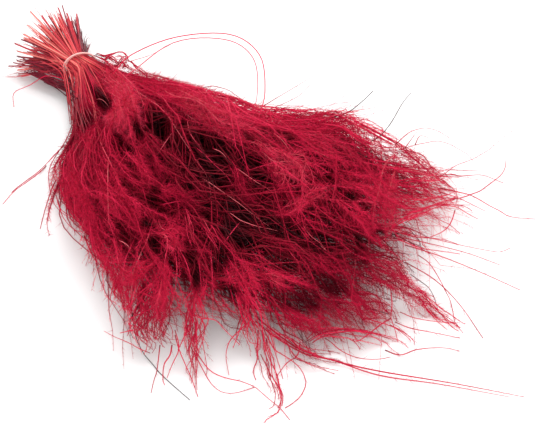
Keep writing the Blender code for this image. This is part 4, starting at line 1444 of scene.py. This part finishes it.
@dataclass
class StrayAwns:
    """The long awns that leave the outline, as the solids have them."""

    awns: tuple[StrayAwn, ...] = (
        # The long double loop over the top.
        StrayAwn(((0.046, -0.004, 0.040), (0.056, 0.006, 0.056), (0.078, 0.030, 0.070),
                  (0.108, 0.054, 0.075), (0.142, 0.050, 0.075), (0.174, 0.024, 0.072),
                  (0.182, 0.010, 0.060), (0.185, 0.002, 0.042)), 0.00042, 0.82),
        StrayAwn(((0.060, -0.002, 0.044), (0.080, 0.026, 0.068), (0.108, 0.049, 0.073),
                  (0.138, 0.047, 0.073), (0.168, 0.023, 0.070), (0.176, 0.006, 0.046)),
                 0.00036, 0.82),
        # The double awn along the floor towards the bottom right.
        StrayAwn(((0.274, -0.082, 0.009), (0.289, -0.081, 0.006), (0.308, -0.079, 0.004),
                  (0.328, -0.070, 0.0025), (0.351, -0.058, 0.0025), (0.387, -0.035, 0.0025),
                  (0.421, -0.015, 0.0025)), 0.00050, 0.60, 0.5),
        StrayAwn(((0.276, -0.084, 0.008), (0.291, -0.083, 0.005), (0.311, -0.079, 0.003),
                  (0.327, -0.070, 0.002), (0.353, -0.060, 0.002), (0.381, -0.041, 0.002),
                  (0.414, -0.021, 0.002)), 0.00044, 0.62, 0.4),
    )

    def piece(self, shade: Shade) -> GrassPiece:
        """Returns all the stray awns as one piece, with hairs on those that have them, darkened by the
        clearings' painted shade.
        """
        rng = np.random.default_rng([SEED, 99])
        surfaces = []
        for awn in self.awns:
            path = smooth_path(np.array(awn.points), 6)[None]
            taper = np.interp(np.linspace(0.0, 1.0, path.shape[1]), [0.0, 0.7, 1.0], [1.0, 0.85, 0.3])
            strands = Strands(path, awn.radius * taper[None], np.full(path.shape[:2], awn.tone))
            surfaces.append(strands.tubes(5, Finish.AWN))
            if awn.hairs:
                surfaces.append(DOWN.hairs(strands, np.array([0.1]), np.array([awn.hairs]),
                                           shade.unshaded, rng))
        return GrassPiece("stray_awns", (), surfaces)


@dataclass
class RubberBand:
    """The doubled rubber band: two turns that twist past each other once."""

    flow: Flow
    section: float = 0.00066
    flatness: float = 0.9
    tightness: float = 0.0009
    solid_section: float = 0.0008
    gap: float = 0.0001
    clearance: float = 0.0004
    trunk_radius: float = 0.0009
    tilt: float = 0.36
    solid_points: int = 40
    points: int = 160
    sides: int = 12

    def path(self, points: int, section: float, tightness: float) -> Array:
        """Leads both turns round the straws: a tilted oval whose size swings once.

        Args:
            points: How many points the closed line has.
            section: Radius of the rubber.
            tightness: How much closer to the straws it lies than the solid.

        Returns:
            The closed centre line, (points, 3).
        """
        apart = section + self.gap
        angle = np.linspace(0.0, 4.0 * math.pi, points, endpoint=False)
        around = self.trunk_radius + self.clearance + section - tightness
        around = around + apart * (1.0 + np.sin(angle / 2.0))
        half_width = self.flow.bundle_radius * OUTERMOST + around
        half_height = self.flow.bundle_half_height * OUTERMOST + around
        x = apart * np.cos(angle / 2.0) + self.tilt * half_width * np.cos(angle)
        return np.column_stack([x, half_width * np.cos(angle),
                                self.flow.bundle_height + half_height * np.sin(angle)])

    def build(self, place: "BunchFrame", material: bpy.types.Material) -> int:
        """Makes the band a closed ring of flattened sections.

        A point is path(j) + section (flatness cos(a) R + sin(a) S), with R away from the bunch's axis
        and S square to it and to the path.

        Args:
            place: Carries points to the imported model's frame.
            material: The band's rubber.

        Returns:
            How many triangles the band has.
        """
        path = self.path(self.points, self.section, self.tightness)
        tangent = unit(np.roll(path, -1, axis=0) - np.roll(path, 1, axis=0))
        outward = path - [0.0, 0.0, self.flow.bundle_height]
        outward = unit(outward - (outward * tangent).sum(-1, keepdims=True) * tangent)
        sideways = np.cross(tangent, outward)
        angle = np.arange(self.sides) * 2.0 * math.pi / self.sides
        rings = path[:, None] + self.section * (self.flatness * np.cos(angle)[:, None] * outward[:, None]
                                                + np.sin(angle)[:, None] * sideways[:, None])
        row, side = np.meshgrid(np.arange(self.points), np.arange(self.sides), indexing="ij")
        after, beside = (row + 1) % self.points, (side + 1) % self.sides
        faces = np.stack([row * self.sides + side, row * self.sides + beside,
                          after * self.sides + beside, after * self.sides + side], axis=-1)
        mesh = bpy.data.meshes.new("rubber_band")
        mesh.from_pydata(place.carried(rings.reshape(-1, 3)).tolist(), [],
                         faces.reshape(-1, 4).tolist())
        mesh.materials.append(material)
        mesh.shade_smooth()
        obj = bpy.data.objects.new("rubber_band", mesh)
        bpy.context.scene.collection.objects.link(obj)
        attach(obj, "root")
        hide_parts("band")
        LOG.info("rubber_band: %d faces", len(mesh.polygons))
        return 2 * len(mesh.polygons)


@dataclass
class BunchFrame:
    """Carries the bunch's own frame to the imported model's, by the middle of the band's box."""

    band: RubberBand
    shift: Array = field(init=False)

    def __post_init__(self) -> None:
        """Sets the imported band's middle against the middle of the band's own centre line."""
        low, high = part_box("band")
        path = self.band.path(self.band.solid_points, self.band.solid_section, 0.0)
        middle = (path.min(axis=0) + path.max(axis=0)) / 2.0
        packed = np.array((low + high) / 2.0)
        self.shift = (packed - middle) * [1.0, 1.0, 0.0]

    def carried(self, points: Array) -> Array:
        """Returns the points of the bunch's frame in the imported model's frame."""
        return points + self.shift


def feed(tree: bpy.types.NodeTree, made: bpy.types.Node, inputs: dict) -> None:
    """Sets the inputs of a node that are given a value, and links those that are given an output.

    Args:
        tree: The node tree.
        made: The node.
        inputs: Values and outputs, by the input's name or number.
    """
    for key, given in inputs.items():
        if isinstance(given, bpy.types.NodeSocket):
            tree.links.new(given, made.inputs[key])
        else:
            made.inputs[key].default_value = given


def node(tree: bpy.types.NodeTree, kind: str, inputs: dict | None = None,
         **values: object) -> bpy.types.Node:
    """Adds a node, sets its properties and feeds its inputs.

    Args:
        tree: The node tree.
        kind: The node's type.
        inputs: Values and outputs, by the input's name or number.
        values: Properties to set by name.

    Returns:
        The node.
    """
    made = tree.nodes.new(kind)
    for name, value in values.items():
        setattr(made, name, value)
    feed(tree, made, inputs or {})
    return made


class StrandPattern:
    """The shader node group that all grass materials share: tone, place along and fibre streaks."""

    name = "strand_pattern"

    def __init__(self) -> None:
        """Builds the group once, reading the strand map."""
        self.group = tree = bpy.data.node_groups.new(self.name, "ShaderNodeTree")
        for label, default in (("Low", 0.0), ("High", 1.0), ("Streak Count", 300.0),
                               ("Streak Length", 3.0)):
            socket = tree.interface.new_socket(name=label, in_out="INPUT", socket_type="NodeSocketFloat")
            socket.default_value = default
        for label in ("Tone", "Along", "Streak"):
            tree.interface.new_socket(name=label, in_out="OUTPUT", socket_type="NodeSocketFloat")
        given, out = node(tree, "NodeGroupInput").outputs, node(tree, "NodeGroupOutput")
        uv = node(tree, "ShaderNodeUVMap", uv_map=STRAND_MAP)
        split = node(tree, "ShaderNodeSeparateXYZ", {"Vector": uv.outputs["UV"]})
        along = node(tree, "ShaderNodeMapRange", {
            "Value": split.outputs["Y"], "From Min": given["Low"], "From Max": given["High"]})
        across = node(tree, "ShaderNodeMath", {0: split.outputs["X"], 1: given["Streak Count"]},
                      operation="MULTIPLY")
        length = node(tree, "ShaderNodeMath", {0: along.outputs["Result"], 1: given["Streak Length"]},
                      operation="MULTIPLY")
        place = node(tree, "ShaderNodeCombineXYZ", {
            "X": across.outputs["Value"], "Y": length.outputs["Value"]})
        streak = node(tree, "ShaderNodeTexNoise", noise_dimensions="2D")
        feed(tree, streak, {"Vector": place.outputs["Vector"], "Scale": 1.0, "Detail": 2.0})
        tone = node(tree, "ShaderNodeMapRange", {
            "Value": split.outputs["X"], "From Min": TONE_STRIP[0], "From Max": TONE_STRIP[1]})
        feed(tree, out, {"Tone": tone.outputs["Result"], "Along": along.outputs["Result"],
                         "Streak": streak.outputs["Fac"]})


@dataclass(frozen=True)
class GrassFinish:
    """A grass material: colours by tone, a second colour set near the root, streaks and gloss.

    The tone carries both the dye's own variation and painted light and shade.
    """

    name: str
    finish: Finish
    tones: tuple[tuple[float, Triple], ...]
    root_tones: tuple[tuple[float, Triple], ...]
    root_end: Range
    streak_count: float
    streak_length: float
    streak_depth: float
    roughness: float
    specular: float
    bump: float = 0.0
    bump_height: float = 0.0003
    streak_range: Range = (0.3, 0.7)  # of the noise
    streak_gain: float = 0.4  # how much a pale streak gains for what a dark one loses

    def ramp(self, tree: bpy.types.NodeTree, stops: tuple,
             tone: bpy.types.NodeSocket) -> bpy.types.NodeSocket:
        """Returns the colours of a ramp with these stops, read at the tone."""
        made = node(tree, "ShaderNodeValToRGB", {"Fac": tone})
        elements = made.color_ramp.elements
        while len(elements) < len(stops):
            elements.new(0.5)
        for element, (at, colour) in zip(elements, stops):
            element.position = at
            element.color = (*colour, 1.0)
        return made.outputs["Color"]

    def build(self, pattern: StrandPattern) -> bpy.types.Material:
        """Makes the material.

        Args:
            pattern: The shared node group.

        Returns:
            The material, whose Principled BSDF takes its colour from tone, place and streaks.
        """
        material = bpy.data.materials.new(self.name)
        material.use_nodes = True
        tree = material.node_tree
        low, high = self.finish.strip()
        strand = node(tree, "ShaderNodeGroup", {
            "Low": low, "High": high, "Streak Count": self.streak_count,
            "Streak Length": self.streak_length}, node_tree=pattern.group).outputs
        rooted = node(tree, "ShaderNodeMapRange", {
            "Value": strand["Along"], "From Min": self.root_end[0], "From Max": self.root_end[1]},
            interpolation_type="SMOOTHSTEP")
        mixed = node(tree, "ShaderNodeMix", data_type="RGBA")
        feed(tree, mixed, {"Factor": rooted.outputs["Result"],
                           "A": self.ramp(tree, self.root_tones, strand["Tone"]),
                           "B": self.ramp(tree, self.tones, strand["Tone"])})
        depth = node(tree, "ShaderNodeMapRange", {
            "Value": strand["Streak"], "From Min": self.streak_range[0],
            "From Max": self.streak_range[1], "To Min": 1.0 - self.streak_depth,
            "To Max": 1.0 + self.streak_gain * self.streak_depth})
        streaked = node(tree, "ShaderNodeMix", {
            "Factor": 1.0, "A": mixed.outputs["Result"], "B": depth.outputs["Result"]},
            data_type="RGBA", blend_type="MULTIPLY")
        shader = tree.nodes["Principled BSDF"]
        feed(tree, shader, {"Base Color": streaked.outputs["Result"], "Roughness": self.roughness,
                            "Specular IOR Level": self.specular})
        if self.bump:
            bump = node(tree, "ShaderNodeBump", {
                "Height": strand["Streak"], "Strength": self.bump, "Distance": self.bump_height})
            feed(tree, shader, {"Normal": bump.outputs["Normal"]})
        return material


# Colours by tone. The lowest, near-black stops serve both dark strands and painted shade; the highest,
# palest stops serve both pale strands and painted highlights.
STRAW_TONES = ((0.0, (0.095, 0.003, 0.014)), (0.3, (0.25, 0.009, 0.028)), (0.6, (0.68, 0.044, 0.064)),
               (0.85, (0.86, 0.105, 0.115)), (1.0, (0.95, 0.27, 0.23)))
STEM_TONES = ((0.0, (0.070, 0.0015, 0.008)), (0.4, (0.36, 0.006, 0.030)), (0.8, (0.82, 0.050, 0.075)),
              (1.0, (0.90, 0.13, 0.12)))
AWN_TONES = ((0.0, (0.010, 0.0003, 0.002)), (0.3, (0.22, 0.002, 0.014)), (0.6, (0.58, 0.007, 0.045)),
             (0.86, (0.86, 0.022, 0.090)), (1.0, (0.92, 0.17, 0.20)))
HAIR_TONES = ((0.0, (0.008, 0.0002, 0.0015)), (0.3, (0.21, 0.0025, 0.016)), (0.6, (0.60, 0.010, 0.052)),
              (0.86, (0.86, 0.022, 0.088)), (1.0, (0.93, 0.065, 0.14)))
GRASS_FINISHES = (
    GrassFinish("dyed_straw", Finish.STRAW, STEM_TONES, STRAW_TONES, (0.50, 0.85), 420.0, 5.0, 0.45,
                0.42, 0.18, bump=0.25),
    GrassFinish("dyed_awn_and_painted_light", Finish.AWN, AWN_TONES, AWN_TONES, (0.0, 1.0), 260.0, 14.0, 0.25, 0.50,
                0.13),
    GrassFinish("dyed_hair_and_painted_light", Finish.HAIR, HAIR_TONES, HAIR_TONES, (0.0, 1.0), 120.0, 1.0, 0.20, 0.65,
                0.05),
)


@dataclass(frozen=True)
class RubberFinish:
    """Pale pink rubber, slightly cloudy, with dye rubbed into it."""

    name: str = "pale_rubber"
    pale: Triple = (0.86, 0.50, 0.46)
    stained: Triple = (0.80, 0.30, 0.30)
    roughness: float = 0.42
    cloudiness: float = 0.25
    light_depth: Triple = (0.002, 0.001, 0.001)
    cloud_scale: float = 180.0
    cloud_range: Range = (0.45, 0.75)
    bump: float = 0.15
    bump_height: float = 0.0002

    def build(self) -> bpy.types.Material:
        """Returns the material: two pinks mixed by noise on Object coordinates, with a fine bump."""
        material = bpy.data.materials.new(self.name)
        material.use_nodes = True
        tree = material.node_tree
        place = node(tree, "ShaderNodeTexCoord").outputs["Object"]
        cloud = node(tree, "ShaderNodeTexNoise", {"Vector": place, "Scale": self.cloud_scale})
        spread = node(tree, "ShaderNodeMapRange", {
            "Value": cloud.outputs["Fac"], "From Min": self.cloud_range[0],
            "From Max": self.cloud_range[1]})
        mixed = node(tree, "ShaderNodeMix", {
            "Factor": spread.outputs["Result"], "A": (*self.pale, 1.0), "B": (*self.stained, 1.0)},
            data_type="RGBA")
        bump = node(tree, "ShaderNodeBump", {
            "Height": cloud.outputs["Fac"], "Strength": self.bump, "Distance": self.bump_height})
        feed(tree, tree.nodes["Principled BSDF"], {
            "Base Color": mixed.outputs["Result"], "Normal": bump.outputs["Normal"],
            "Roughness": self.roughness, "Subsurface Weight": self.cloudiness,
            "Subsurface Radius": self.light_depth})
        return material


@dataclass(frozen=True)
class Lamp:
    """A soft round lamp that shines at the origin."""

    name: str
    spot: Triple
    size: float
    power: float

    def build(self) -> None:
        """Puts the lamp in the scene."""
        data = bpy.data.lights.new(self.name, "AREA")
        data.shape = "DISK"
        data.size = self.size
        data.energy = self.power
        lamp = bpy.data.objects.new(self.name, data)
        lamp.location = self.spot
        lamp.rotation_euler = Vector(self.spot).to_track_quat("Z", "Y").to_euler()
        bpy.context.scene.collection.objects.link(lamp)


@dataclass
class Studio:
    """Camera, pale floor and soft light."""

    place: BunchFrame
    view: PhotoView
    floor_size: float = 6.0
    floor_grey: float = 0.92
    floor_roughness: float = 0.9
    floor_specular: float = 0.1
    sky: float = 0.82
    lamps: tuple[Lamp, ...] = (Lamp("key", (-0.10, 0.40, 1.15), 1.4, 10.0),
                               Lamp("front", (0.8, -0.9, 1.0), 1.2, 9.5))

    def build_camera(self) -> None:
        """Sets the camera that sees the bunch as the photo does."""
        data = bpy.data.cameras.new("camera")
        data.sensor_width = self.view.sensor_width
        data.lens = self.view.lens()
        camera = bpy.data.objects.new("camera", data)
        bpy.context.scene.collection.objects.link(camera)
        camera.location = Vector(self.place.carried(self.view.position()))
        camera.rotation_euler = Vector(self.view.axes()[2]).to_track_quat("Z", "Y").to_euler()
        bpy.context.scene.camera = camera

    def build_floor(self) -> None:
        """Lays the pale floor, a plane that is no part of the bunch."""
        half = self.floor_size / 2.0
        mesh = bpy.data.meshes.new("floor")
        corners = [(-half, -half, 0.0), (half, -half, 0.0), (half, half, 0.0), (-half, half, 0.0)]
        mesh.from_pydata(corners, [], [(0, 1, 2, 3)])
        material = bpy.data.materials.new("floor")
        material.use_nodes = True
        shader = material.node_tree.nodes["Principled BSDF"]
        feed(material.node_tree, shader, {
            "Base Color": (*(self.floor_grey,) * 3, 1.0), "Roughness": self.floor_roughness,
            "Specular IOR Level": self.floor_specular})
        mesh.materials.append(material)
        floor = bpy.data.objects.new("floor", mesh)
        bpy.context.scene.collection.objects.link(floor)

    def build(self) -> None:
        """Builds the camera, the floor, the sky and the lamps, and keeps colours plain."""
        bpy.context.scene.view_settings.view_transform = "Standard"
        self.build_camera()
        self.build_floor()
        world = bpy.data.worlds.new("sky")
        world.use_nodes = True
        feed(world.node_tree, world.node_tree.nodes["Background"], {
            "Color": (1.0, 1.0, 1.0, 1.0), "Strength": self.sky})
        bpy.context.scene.world = world
        for lamp in self.lamps:
            lamp.build()
        LOG.info("studio: camera, floor and light")


def main() -> None:
    """Builds the studio, the sprays, the traced strands, the stray awns and the band."""
    logging.basicConfig(level=logging.INFO, format="%(message)s")
    flow, view = Flow(), PhotoView()
    shade, band = Shade(view), RubberBand(flow)
    place = BunchFrame(band)
    Studio(place, view).build()
    pattern = StrandPattern()
    materials = [finish.build(pattern) for finish in GRASS_FINISHES]
    sprays = [Spray(index, flow, view) for index in range(1, SPRAY_COUNT + 1)]
    sight = Sight(view, Canopy(np.vstack([spray.points() for spray in sprays])))
    pieces = [spray.piece() for spray in sprays]
    pieces += [tracing.piece(sight, shade) for tracing in TRACINGS]
    pieces.append(StrayAwns().piece(shade))
    total = sum(piece.build(place, materials) for piece in pieces)
    total += band.build(place, RubberFinish().build())
    LOG.info("all pieces: %d triangles", total)


if __name__ == "__main__":
    main()
